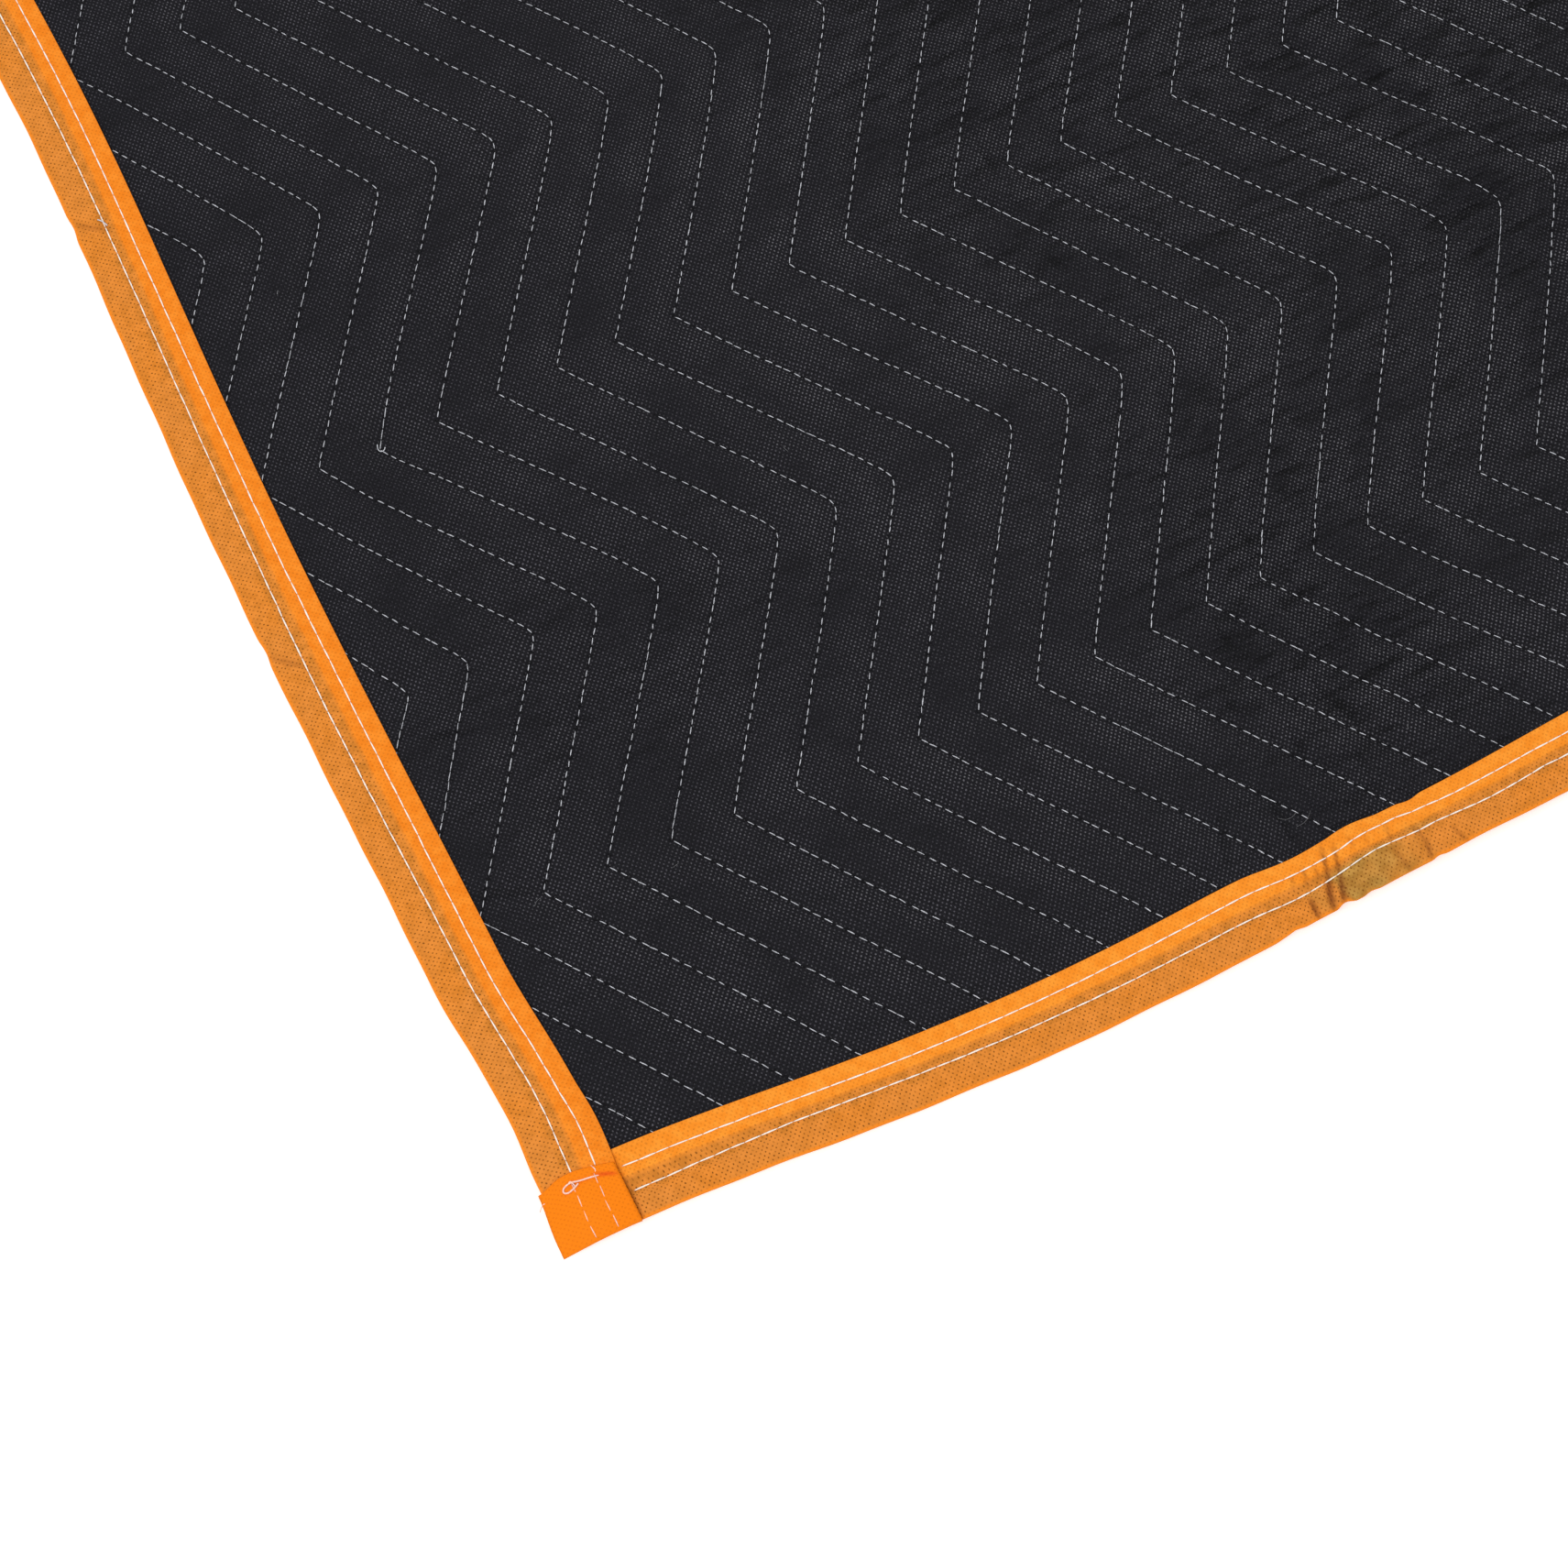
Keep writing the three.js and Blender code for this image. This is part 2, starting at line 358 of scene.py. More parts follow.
# Small notches in the folded edge: edge, along, half width, depth
NOTCHES = [
    ("front", 314, 4.5, 1.3),
    ("front", 291, 6, 0.9),
    ("front", 325, 4, 0.6),
    ("front", 355, 3.5, 0.6),
    ("left", 470, 7, 0.7),
    ("left", 268, 7, 0.6),
]

# Where the gathered tape is narrower: edge, along, half width, amount
DRAWN_IN = [
    ("front", 360, 95, 3.2),
    ("front", 303, 22, 1.4),
    ("front", 330, 12, -0.9),
    ("front", 168, 170, 1.5),
    ("front", 355, 6, 0.8),
    ("left", 300, 700, 0.8),
    ("left", 34, 24, -1.7),
]

# How far a tape as a whole lies outside the pad's flat edge: along, outwards
LIES_OUT = {
    "left": [(0, 0.2), (25, -0.7), (52, -2.0), (115, 1.4), (265, 2.0), (420, 1.4), (640, 0)],
    "front": [(0, 1.0), (100, 1.0), (175, 0.9), (330, 0)],
}

# How far a tab lies out from the side of its tape, and past its end
TAB_LIES_OUT = 1.4
TAB_BEYOND_END = 1.1

# Where a seam strays: edge, seam, along, half width, shift
STRAYS = [
    ("front", "outer", 36, 66, -2.0),
    ("front", "inner", 36, 66, -0.7),
    ("front", "outer", 300, 26, -1.5),
    ("front", "outer", 336, 16, 1.0),
    ("front", "outer", 385, 26, -1.3),
    ("front", "inner", 345, 26, 1.8),
    ("left", "outer", 220, 90, -0.6),
    ("left", "inner", 380, 90, 0.5),
]

# Where the black cloth shows through the tape as an olive tint: edge, from, to, from inset, to inset
SHOWING_THROUGH = [
    ("front", 314, 343, -3, 14.2, 0.85),
    ("front", 343, 352, -3, 12.5, 0.3),
    ("front", 350, 362, 13.2, 17.2, 0.4),
    ("front", 303, 309, 2, 13, 0.35),
]

# The tack on the left front tab: name, width, then inset, run and height over the tab
TACK_THREADS = [
    (
        "tack_loop",
        0.66,
        [(22.8, 21.7, -0.4), (20.4, 21.8, 0.15), (17.6, 21.7, 0.3), (14.8, 21.7, 0.45)]
        + [(12.2, 22.4, 0.45), (9.9, 22.2, 0.35), (8.3, 21.5, 0.3), (8.1, 20.2, 0.3)]
        + [(9.4, 19.4, 0.3), (11.3, 19.6, 0.35), (13.3, 20.3, 0.6), (14.3, 20.9, 0.4)],
    ),
    ("tack_nub", 0.5, [(12.9, 20.0, 0.3), (12.6, 21.9, 0.7), (11.8, 23.0, 0.5), (11.2, 22.4, 0.3)]),
    ("tack_end", 0.36, [(0.2, 21.6, 0.0), (-0.9, 21.4, -0.3), (-1.9, 20.6, -0.9), (-2.5, 19.6, -1.4)]),
    ("tack_nib", 0.45, [(21.6, 26.6, -1.1), (21.9, 25.4, 0.1), (22.3, 24.4, 0.0), (22.0, 23.4, -0.3)]),
]

# Other loose bits of thread: name, width, then x, y and height over the cloth or tape
LOOSE_THREADS = [
    (
        "quilting_hook",
        0.38,
        [(76.0, 336.4, 0.2), (75.2, 334.4, 0.3), (75.9, 332.9, 0.5), (77.5, 332.8, 0.5)]
        + [(78.3, 334, 0.3)],
    ),
    ("tape_nib", 0.5, [(9.4, 468.6, 0.4), (10.3, 467.6, 0.7), (11.3, 466.2, 0.6), (12.0, 464.6, 0.3)]),
]

# Bits of lint on the cloth: x, y, heading, length, bow, width
LINT = [
    (311, 42, 170, 7.5, 1.4, 0.14),
    (316, 38, 20, 8.5, -1.2, 0.12),
    (64, 409, 60, 1.6, 0.2, 0.34),
    (47, 128, 35, 4.2, 0.5, 0.14),
    (98, 120, 15, 2.4, 0.2, 0.16),
    (372, 51, 60, 2.2, 0.2, 0.2),
    (214, 262, 100, 2.8, 0.3, 0.15),
    (430, 402, 140, 3.4, 0.4, 0.15),
]

# The spacing of the welds in the cloth and the tape, in metres
WELDS = {"Across": 0.00205, "Along": 0.0024}

# Where the tape's colours change, in metres across it from its folded edge: at the hem, over the cut
# edge of the black cloth, beside the folded edge, and on the tab
HEM_FROM = (0.0150, 0.0177)
PAD_FROM = (0.0098, 0.0112)
RIM_TO = (0.0009, 0.0019)
TAB_FROM = (0.045, 0.050)

# Colours of the black cloth: its fibres, its welds, lighter as painted sheen, and the painted shade in
# its needle holes, creases and ripples
BLACK_FIBRES = ((0.0028, 0.0028, 0.0038, 1), (0.0124, 0.0118, 0.0156, 1))
WELD_SHEEN_GREY = (0.060, 0.057, 0.071, 1)
PAINTED_SHADE_BLACK = (0.002, 0.002, 0.0025, 1)

# Colours of the tape, darker and lighter: doubled at the hem of the side tapes and of the end tapes,
# single, single over the pad, and tinted by the black cloth under it
SIDE_ORANGE = ((0.77, 0.195, 0.007, 1), (0.83, 0.240, 0.016, 1))
END_ORANGE = ((0.80, 0.232, 0.012, 1), (0.86, 0.285, 0.024, 1))
THIN_ORANGE = ((0.60, 0.185, 0.016, 1), (0.72, 0.228, 0.026, 1))
DARK_ORANGE = ((0.52, 0.172, 0.018, 1), (0.70, 0.230, 0.030, 1))
OLIVE = ((0.20, 0.140, 0.026, 1), (0.36, 0.250, 0.058, 1))

# More colours of the tape: tab, pale patches, folded edge, welds, and painted shade in the folds on the
# tape and on the tab
TAB_ORANGE = (0.84, 0.197, 0.002, 1)
PALE_ORANGE = (0.62, 0.235, 0.050, 1)
RIM_ORANGE = (0.80, 0.225, 0.014, 1)
BROWN_WELDS = (0.20, 0.062, 0.004, 1)
BROWN_FOLD_SHADE = (0.17, 0.042, 0.006, 1)
RED_FOLD_SHADE = (0.70, 0.085, 0.004, 1)

# Colours of the threads and the lint, darker and lighter
WHITE = ((0.84, 0.76, 0.66, 1), (0.97, 0.92, 0.84, 1))
GREY = ((0.39, 0.40, 0.43, 1), (0.68, 0.69, 0.74, 1))
PINK = ((0.82, 0.46, 0.36, 1), (0.92, 0.68, 0.58, 1))
LINT_GREY = ((0.08, 0.08, 0.085, 1), (0.18, 0.18, 0.19, 1))

# The camera over the left front corner, in metres, with its roll in degrees
CAMERA_PLACE = (-1.0049, -1.2576, 1.1459)
CAMERA_AIM = (-0.7639, -0.8814, 0)
CAMERA_ROLL = 5.87
CAMERA_LENS = 75.39

# Lamps: name, place, aim, size, power
LAMPS = [
    ("front_left", (-2.3, -1.7, 2.4), (-0.5, -0.5, 0), 1.6, 40),
    ("overhead", (0.95, 0.55, 2.8), (-0.3, -0.3, 0), 1.5, 36),
]
WORLD_STRENGTH = 0.65
FLOOR_HALF = 6.0


# Form


def hump(t):
    """1 in the middle and 0 from one unit out."""
    return np.maximum(0.0, 1 - t * t) ** 2


def rise(value, low, high):
    """0 up to low and 1 from high, smooth between them."""
    t = np.clip((value - low) / (high - low), 0, 1)
    return t * t * (3 - 2 * t)


def from_edges(x, y):
    """How far in from the nearest edge of the flat pad."""
    return np.minimum.reduce([x, PAD_WIDTH - x, y, PAD_LENGTH - y])


def zigzag(y, sharp=0.4, round_=2.75):
    """How far right a row of stitches lies at y. The turns on its right are rounder, and from the
    first turn the row runs on straight under the front tape."""
    turned = np.abs(((y - FIRST_TURN_Y) / LEG + 1) % 2 - 1)
    slope = SWING / LEG
    from_left = slope * np.hypot(turned * LEG, sharp)
    from_right = SWING - slope * np.hypot((1 - turned) * LEG, round_)
    turning = np.where(turned < 0.5, from_left, from_right)
    onward = slope * np.hypot(FIRST_TURN_Y - y, sharp)
    return np.where(y < FIRST_TURN_Y, onward, turning)


def raised(x, y, table):
    """The summed heights of the humps in a table."""
    height = np.zeros_like(x)
    for at_x, at_y, heading, half_length, half_width, top in table:
        turn = math.radians(heading)
        along = (x - at_x) * math.cos(turn) + (y - at_y) * math.sin(turn)
        across = (y - at_y) * math.cos(turn) - (x - at_x) * math.sin(turn)
        height += top * hump(along / half_length) * hump(across / half_width)
    return height


def edge_shift(x, y):
    """How far the uneven sides move a place, in x and in y."""
    shift = {"x": np.zeros_like(x), "y": np.zeros_like(x)}
    for edge, at, reach, depth, inwards in UNEVEN_EDGES:
        along, across, side, axis = {
            "front": (x, y, 1, "y"),
            "back": (x, PAD_LENGTH - y, -1, "y"),
            "left": (y, x, 1, "x"),
            "right": (y, PAD_WIDTH - x, -1, "x"),
        }[edge]
        shift[axis] += side * inwards * np.exp(-(((along - at) / reach) ** 2) - (across / depth) ** 2)
    return shift["x"], shift["y"]


def wander(x, y):
    """Moves a place of the quilting as the needles wandered. The cloth's cut edge stays."""
    free = rise(from_edges(x, y), 8, 20)
    shift_x = np.zeros_like(x)
    shift_y = np.zeros_like(x)
    for at_x, at_y, reach, by_x, by_y in WANDERINGS:
        near = free * np.exp(-((x - at_x) ** 2 + (y - at_y) ** 2) / reach**2)
        shift_x += by_x * near
        shift_y += by_y * near
    return x + shift_x, y + shift_y


def corner_of_frame():
    """Where the flat pad's left front corner lies in the part's frame, from the tapes' boxes."""
    edge = np.linspace(0, PAD_LENGTH, 4000)
    start = np.zeros_like(edge)
    leftmost = edge_shift(start, edge)[0].min()
    foremost = edge_shift(edge * PAD_WIDTH / PAD_LENGTH, start)[1].min()
    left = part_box("binding_left")[0].x / MM
    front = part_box("binding_front")[0].y / MM
    return left - leftmost, front - foremost


CORNER_X, CORNER_Y = corner_of_frame()


def lay_down(x, y, z):
    """A place on the flat pad, z above its underside, in metres in the part's frame."""
    shift_x, shift_y = edge_shift(x, y)
    laid_x = x + shift_x
    laid_y = y + shift_y
    floor_gap = raised(laid_x, laid_y, SWELLS)
    return np.stack([laid_x + CORNER_X, laid_y + CORNER_Y, z + floor_gap], axis=-1) * MM


def new_piece(name, mesh, material):
    """A smooth piece of one material, at the origin."""
    piece = bpy.data.objects.new(name, mesh)
    bpy.context.scene.collection.objects.link(piece)
    mesh.materials.append(material)
    mesh.shade_smooth()
    return piece


def grid_mesh(name, columns, rows):
    """A flat mesh of so many cells, with the column and row number of each point."""
    grid = bmesh.new()
    bmesh.ops.create_grid(grid, x_segments=columns, y_segments=rows, size=1)
    mesh = bpy.data.meshes.new(name)
    grid.to_mesh(mesh)
    grid.free()
    places = points_of(mesh)
    low = places.min(axis=0)
    span = places.max(axis=0) - low
    column = np.rint((places[:, 0] - low[0]) / span[0] * columns).astype(int)
    row = np.rint((places[:, 1] - low[1]) / span[1] * rows).astype(int)
    return mesh, column, row


def points_of(mesh):
    places = np.empty(len(mesh.vertices) * 3)
    mesh.vertices.foreach_get("co", places)
    return places.reshape(-1, 3)


def move_points(mesh, places):
    mesh.vertices.foreach_set("co", np.ascontiguousarray(places, dtype=np.float32).ravel())
    mesh.update()


def add_map(mesh, name, across, along):
    """A UV map from one pair of values for each point."""
    corners = np.empty(len(mesh.loops), dtype=np.int32)
    mesh.loops.foreach_get("vertex_index", corners)
    layer = mesh.uv_layers.new(name=name, do_init=False)
    values = np.stack([across, along], axis=-1)[corners]
    layer.uv.foreach_set("vector", values.astype(np.float32).ravel())


def add_values(mesh, name, values):
    """One value for each point, for the shaders."""
    layer = mesh.attributes.new(name, "FLOAT", "POINT")
    layer.data.foreach_set("value", values.astype(np.float32))


# The quilted cloth


def cell_lines(first, last, span, near, fine, coarse):
    """Lines from first to last that cut each span into fine cells, or into coarse ones past near."""
    lines = [first]
    while lines[-1] < last:
        start = lines[-1]
        cells = fine if start < near else coarse
        lines += [start + span * cell / cells for cell in range(1, cells + 1)]
    return np.array(lines)


def rows_across(x, y):
    """How many rows of stitches a place lies right of the row that turns at FIRST_TURN_X."""
    return (x - zigzag(y) - FIRST_TURN_X) / ROW_PITCH


def plumpness(x, y):
    """The form of the channels, 0 at the rows and 1 between them, and how full each channel is."""
    across = rows_across(x, y)
    row = np.floor(across)
    puff = 1 - np.abs(2 * (across - row) - 1) ** CHANNEL_SQUARENESS
    full = np.full_like(puff, CHANNEL_FILL)
    for reach, change, share in CHANNEL_SWELLS:
        full += share * np.sin(y / reach + change * row)
    return puff, full


def puckers(x, y):
    """Low waves across the rows, where the stitches draw the cloth together. They fade out before the
    grid of the cloth turns coarse."""
    height = np.zeros_like(x)
    for wavelength, lean, bend, phase, top in PUCKERS:
        turns = 2 * math.pi * (y + lean * x) / wavelength + 1.6 * np.sin(x / bend + y / 97 + phase)
        gather = np.sin(x / (0.7 * bend) + y / (0.55 * bend) + 2 * phase)
        height += top * np.sin(turns + phase) * (0.35 + 0.65 * gather)
    slack = np.minimum(slackness(x, y), MOST_SLACKNESS_IN_MESH)
    return height * slack * (1 - rise(y, NEAR_Y - PUCKERS_FADE, NEAR_Y))


def slackness(x, y):
    """How much the cloth puckers in each place."""
    return np.clip(USUAL_SLACKNESS + raised(x, y, MORE_PUCKERED), 0, MOST_SLACKNESS)


def cloth_top(x, y):
    """Height of the upper cloth over the pad's underside."""
    puff, full = plumpness(x, y)
    free = rise(from_edges(x, y), *UPPER_FREE)
    crown = (CROWN_HEIGHT - STITCH_HEIGHT) * puff * full
    drawn = (0.45 + 0.55 * puff) * puckers(x, y)
    return PRESSED_TOP + free * (STITCH_HEIGHT - PRESSED_TOP + crown + drawn + raised(x, y, CREASES))


def cloth_bottom(x, y):
    """Height of the lower cloth over the pad's underside, drawn up at the rows and at the tape."""
    puff, _ = plumpness(x, y)
    free = rise(from_edges(x, y), *LOWER_FREE)
    return PRESSED_BOTTOM * (1 - free) + LOWER_CROWN * (1 - puff) * free


def cloth_grid():
    """The flat cloth as a mesh whose lines follow the rows of stitches."""
    first = FIRST_TURN_X - ROW_PITCH * math.ceil((FIRST_TURN_X + SWING) / ROW_PITCH)
    across = cell_lines(first, PAD_WIDTH, ROW_PITCH, NEAR_X, FINE_CELLS_PER_ROW, COARSE_CELLS_PER_ROW)
    start = FIRST_TURN_Y - 2 * LEG
    along = cell_lines(start, PAD_LENGTH, LEG, NEAR_Y, FINE_CELLS_PER_LEG, COARSE_CELLS_PER_LEG)
    mesh, column, row = grid_mesh("quilted_cloth", len(across) - 1, len(along) - 1)
    y = along[row]
    x = across[column] + zigzag(y)
    move_points(mesh, np.stack([x, y, np.zeros_like(x)], axis=-1))
    return mesh


def cut_and_double(mesh):
    """Cuts the flat cloth to size, and closes it with a lower face at 0 and an upper one at 1."""
    cloth = bmesh.new()
    cloth.from_mesh(mesh)
    cuts = [
        ((CUT_EDGE, 0, 0), (-1, 0, 0)),
        ((PAD_WIDTH - CUT_EDGE, 0, 0), (1, 0, 0)),
        ((0, CUT_EDGE, 0), (0, -1, 0)),
        ((0, PAD_LENGTH - CUT_EDGE, 0), (0, 1, 0)),
    ]
    for place, away in cuts:
        geometry = cloth.verts[:] + cloth.edges[:] + cloth.faces[:]
        bmesh.ops.bisect_plane(
            cloth, geom=geometry, dist=0.01, plane_co=place, plane_no=away, clear_outer=True
        )
    above = bmesh.ops.extrude_face_region(cloth, geom=cloth.faces[:])
    upper_points = [element for element in above["geom"] if isinstance(element, bmesh.types.BMVert)]
    bmesh.ops.translate(cloth, verts=upper_points, vec=(0, 0, 1))
    bmesh.ops.recalc_face_normals(cloth, faces=cloth.faces[:])
    cloth.to_mesh(mesh)
    cloth.free()


def quilted_cloth(material):
    """Both faces and the batting as one closed piece, cut off under the tapes."""
    mesh = cloth_grid()
    cut_and_double(mesh)
    flat = points_of(mesh)
    x, y, is_top = flat[:, 0], flat[:, 1], flat[:, 2] > 0.5
    height = np.where(is_top, cloth_top(x, y), cloth_bottom(x, y))
    move_points(mesh, lay_down(*wander(x, y), height))
    add_map(mesh, "cloth", x * MM, y * MM)
    add_map(mesh, "rows", rows_across(x, y), (y - FIRST_TURN_Y) / (LEG / STITCHES_PER_LEG))
    add_values(mesh, "slack", slackness(x, y) * is_top)
    return new_piece("quilted_cloth", mesh, material)


# The tapes


def arc(inset, height, radius, start, end, steps):
    """Points on a bend in the tape's section, from one heading to another."""
    for step in range(steps + 1):
        turn = math.radians(start + (end - start) * step / steps)
        yield inset + radius * math.cos(turn), height + radius * math.sin(turn)


def tape_section():
    """The folded tape from one turned-in edge to the other, as insets and heights."""
    bend = 0.225
    under = 2.75
    over = under + 2 * bend
    fold = TAPE_WIDTH - TAPE_CLOTH / 2 - bend
    hem_end = TAPE_WIDTH - HEM_DEPTH
    seam_steps = (1.3, 0.6, 0, -0.6, -1.3)
    section = [(hem_end + 0.6, under), (22.0, under)]
    section += list(arc(fold, under + bend, bend, -90, 90, 4))
    section += [(25.2, over)]
    section += [(INNER_SEAM + step, over) for step in seam_steps]
    section += [(18.6, over), (17.0, over), (hem_end, over - 0.05), (hem_end - 0.35, over - 0.2)]
    section += [(hem_end - 0.9, 2.86)]
    section += [(OUTER_SEAM + step, 2.84) for step in seam_steps]
    section += [(9.2, 2.55), (7, 2.2), (4.4, 1.88), (2.2, 1.6)]
    section += list(arc(0.65, 0.975, 0.475, 90, 270, 5))
    low = 0.5
    section += [(3, low), (7.5, low)]
    section += [(OUTER_SEAM - step, low) for step in seam_steps[1:4]]
    section += [(17.5, low)]
    section += [(INNER_SEAM - step, low) for step in seam_steps[1:4]]
    section += [(25.2, low)]
    section += list(arc(fold, low + bend, bend, -90, 90, 3))
    section += [(22.0, low + 2 * bend), (hem_end + 0.6, low + 2 * bend)]
    return np.array(section)


def tape_top(inset):
    """Height of the tape's middle layer at an inset, as in its section."""
    insets = [0.3, 2.2, 4.4, 7, 9.2, OUTER_SEAM - 1.3, 15.3, 16.2, TAPE_WIDTH]
    heights = [1.3, 1.6, 1.88, 2.2, 2.55, 2.84, 2.86, 3.2, 3.2]
    return np.interp(inset, insets, heights)


def seam_dip(inset):
    """How far the tape is drawn down by its two seams."""
    dip = np.zeros_like(inset)
    for seam in (INNER_SEAM, OUTER_SEAM):
        dip += SEAM_DIP * np.exp(-(((inset - seam) / SEAM_REACH) ** 2))
    return dip


def crease_strength(edge, along, inset):
    """The height that creases add to a tape, and how deep in a crease each place is."""
    height = np.zeros_like(along)
    depth = np.zeros_like(along)
    for on, from_along, from_inset, to_along, to_inset, half_width, top in TAPE_CREASES:
        if on != edge:
            continue
        run = np.array([to_along - from_along, to_inset - from_inset])
        length = np.hypot(*run)
        run = run / length
        forward = (along - from_along) * run[0] + (inset - from_inset) * run[1]
        sideways = (inset - from_inset) * run[0] - (along - from_along) * run[1]
        shape = hump(sideways / half_width) * np.sqrt(hump(2 * forward / length - 1))
        height += top * shape
        # How deep in a trough, for the painted shade in the tape's material
        depth += max(0, -top) * 1.2 * shape
    return height, np.clip(depth, 0, 1)


def tape_ripple(edge, along, inset):
    """The tape's own low waves, strongest between its seams and at its folded edge."""
    phase = {"front": 0.4, "left": 1.9, "back": 3.3, "right": 5.1}[edge]
    wave = 0.10 * np.sin(along / 9.7 + phase) * np.sin(along / 41 + 2 * phase)
    wave += 0.09 * np.sin(along / 17.3 + inset / 6 + phase)
    wave += 0.07 * np.sin(along / 6.1 - inset / 4 + 3 * phase) * np.sin(along / 63 + phase)
    loose = 0.35 + 0.65 * np.abs(np.sin(math.pi * (inset - OUTER_SEAM) / (INNER_SEAM - OUTER_SEAM)))
    return wave * loose


def shown_through(edge, along, inset):
    """How much the black cloth tints the tape over it."""
    tint = np.zeros_like(along)
    for on, start, stop, low, high, strength in SHOWING_THROUGH:
        if on == edge:
            leaning = along + 0.35 * (inset - 7)
            lengthways = rise(leaning, start - 2, start + 2) * (1 - rise(leaning, stop - 5, stop + 5))
            crosswise = rise(inset, low - 0.6, low + 0.6) * (1 - rise(inset, high - 2.5, high + 1.5))
            tint += strength * lengthways * crosswise
    return np.clip(tint, 0, 1)


def outwards(edge, along):
    """How far a tape as a whole lies outside the pad's flat edge."""
    knots = LIES_OUT.get(edge, [(0, 0)])
    amount = np.full_like(along, knots[0][1])
    for (start, before), (stop, after) in zip(knots, knots[1:]):
        amount += (after - before) * rise(along, start, stop)
    return amount


def strayed(edge, along, inset):
    """How far the tape is gathered inwards, and its seams with it."""
    shift = np.zeros_like(inset)
    for on, at, half_width, amount in DRAWN_IN:
        if on == edge:
            shift -= amount * hump((along - at) / half_width) * rise(inset, 8, 27)
    for on, seam, at, half_width, amount in STRAYS:
        if on == edge:
            seam_at = INNER_SEAM if seam == "inner" else OUTER_SEAM
            shift += amount * hump((along - at) / half_width) * hump((inset - seam_at) / 4.6)
    return shift


def notch(edge, along):
    """How far the folded edge is pushed in."""
    depth = 0.22 * np.sin(along / 23 + 1) * np.sin(along / 7.7)
    for on, at, half_width, top in NOTCHES:
        if on == edge:
            depth = depth + top * hump((along - at) / half_width)
    return depth


def on_pad(edge, along, inset):
    """The flat pad's x and y for a place on a tape."""
    return {
        "front": (along, inset),
        "back": (along, PAD_LENGTH - inset),
        "left": (inset, along),
        "right": (PAD_WIDTH - inset, along),
    }[edge]


def edge_length(edge):
    """The length of the flat pad along an edge."""
    return PAD_LENGTH if edge in SIDE_EDGES else PAD_WIDTH


def to_nearest_end(edge, along):
    """How far a place along an edge is from the nearer end of it."""
    return np.minimum(along, edge_length(edge) - along)


def over_corner(edge, along):
    """1 where a side tape runs over the end of the front or back tape, 0 elsewhere."""
    if edge not in SIDE_EDGES:
        return np.zeros_like(along)
    return 1 - rise(to_nearest_end(edge, along), OVER_CORNER - 5, OVER_CORNER + 3)


def tape_stations(edge):
    """The places along an edge at which its tape has points."""
    length = edge_length(edge)
    end_gap = 1.6 if edge in SIDE_EDGES else TAPE_WIDTH + 0.4
    start_gap = TAPE_WIDTH - 0.4 if edge == "front" else end_gap
    lines = []
    for on, start, stop, spacing in STATIONS:
        if on == edge:
            count = max(1, round((stop - start) / spacing))
            lines += [start + (stop - start) * step / count for step in range(count)]
    lines = [line for line in lines if start_gap < line < length - end_gap]
    return np.array([start_gap] + lines + [length - end_gap])


def tape_surface(edge, along, inset, height):
    """Where a point of the sewn and creased tape lies, and how deep in a crease."""
    is_top = height > 1.2
    crease, depth = crease_strength(edge, along, inset)
    crease = crease * (1 - 0.45 * rise(inset, 8, 11))
    over = over_corner(edge, along)
    moved = crease + tape_ripple(edge, along, inset) - seam_dip(inset)
    low_moved = LOWER_SEAM_DIP * np.exp(-(((inset - INNER_SEAM) / LOWER_SEAM_REACH) ** 2))
    top = height + moved + over * rise(inset, 6, 16)
    pressed = np.where(over > 0, 0.6 + 0.4 * rise(to_nearest_end(edge, along), 0, 10), 1)
    z = np.where(is_top, top * pressed, height + low_moved)
    held_under = np.where(is_top, 1, 1 - rise(inset, 18, 28))
    out = outwards(edge, along)
    edge_in = notch(edge, along) * (1 - rise(inset, 0, 9)) - np.maximum(out, 0)
    edge_in += (strayed(edge, along, inset) - np.minimum(out, 0)) * held_under
    x, y = on_pad(edge, along, inset + edge_in)
    return x, y, z, depth * is_top


def tape_strip(edge):
    """The folded strip of one edge, as a mesh."""
    stations = tape_stations(edge)
    section = tape_section()
    steps = np.hypot(*np.diff(section, axis=0).T)
    cut = np.concatenate([[0], np.cumsum(steps)])
    nose = cut[int(np.argmin(section[:, 0]))]
    mesh, column, row = grid_mesh(edge + "_tape", len(stations) - 1, len(section) - 1)
    along = stations[column]
    x, y, z, depth = tape_surface(edge, along, section[row, 0], section[row, 1])
    move_points(mesh, lay_down(x, y, z))
    add_map(mesh, "cloth", along * MM, (cut[row] - nose) * MM)
    add_values(mesh, "crease", depth)
    add_values(mesh, "through", shown_through(edge, along, section[row, 0]) * (section[row, 1] > 1.2))
    return mesh


def tab_section():
    """The turned-back end of a side tape, from its cut edge round the fold, as runs and layers."""
    edge_bend = 0.24
    low = 0.42
    section = [(19.8, low), (22.3, low)]
    section += list(arc(TAB_LENGTH - edge_bend, low + edge_bend, edge_bend, -90, 90, 4))
    top = low + 2 * edge_bend
    section += [(run, top) for run in (24.8, 23.6, 22.6, 21.7, 20.8, 19.9, 18.8)]
    section += [(run, top) for run in (17, 14, 10.5, 7, 3.8, 1.6)]
    section += [(0.55, 0.7), (-0.1, 0.4), (-0.4, -0.25), (-0.1, -0.9), (0.6, -1.35), (1.5, -1.5)]
    return np.array(section)


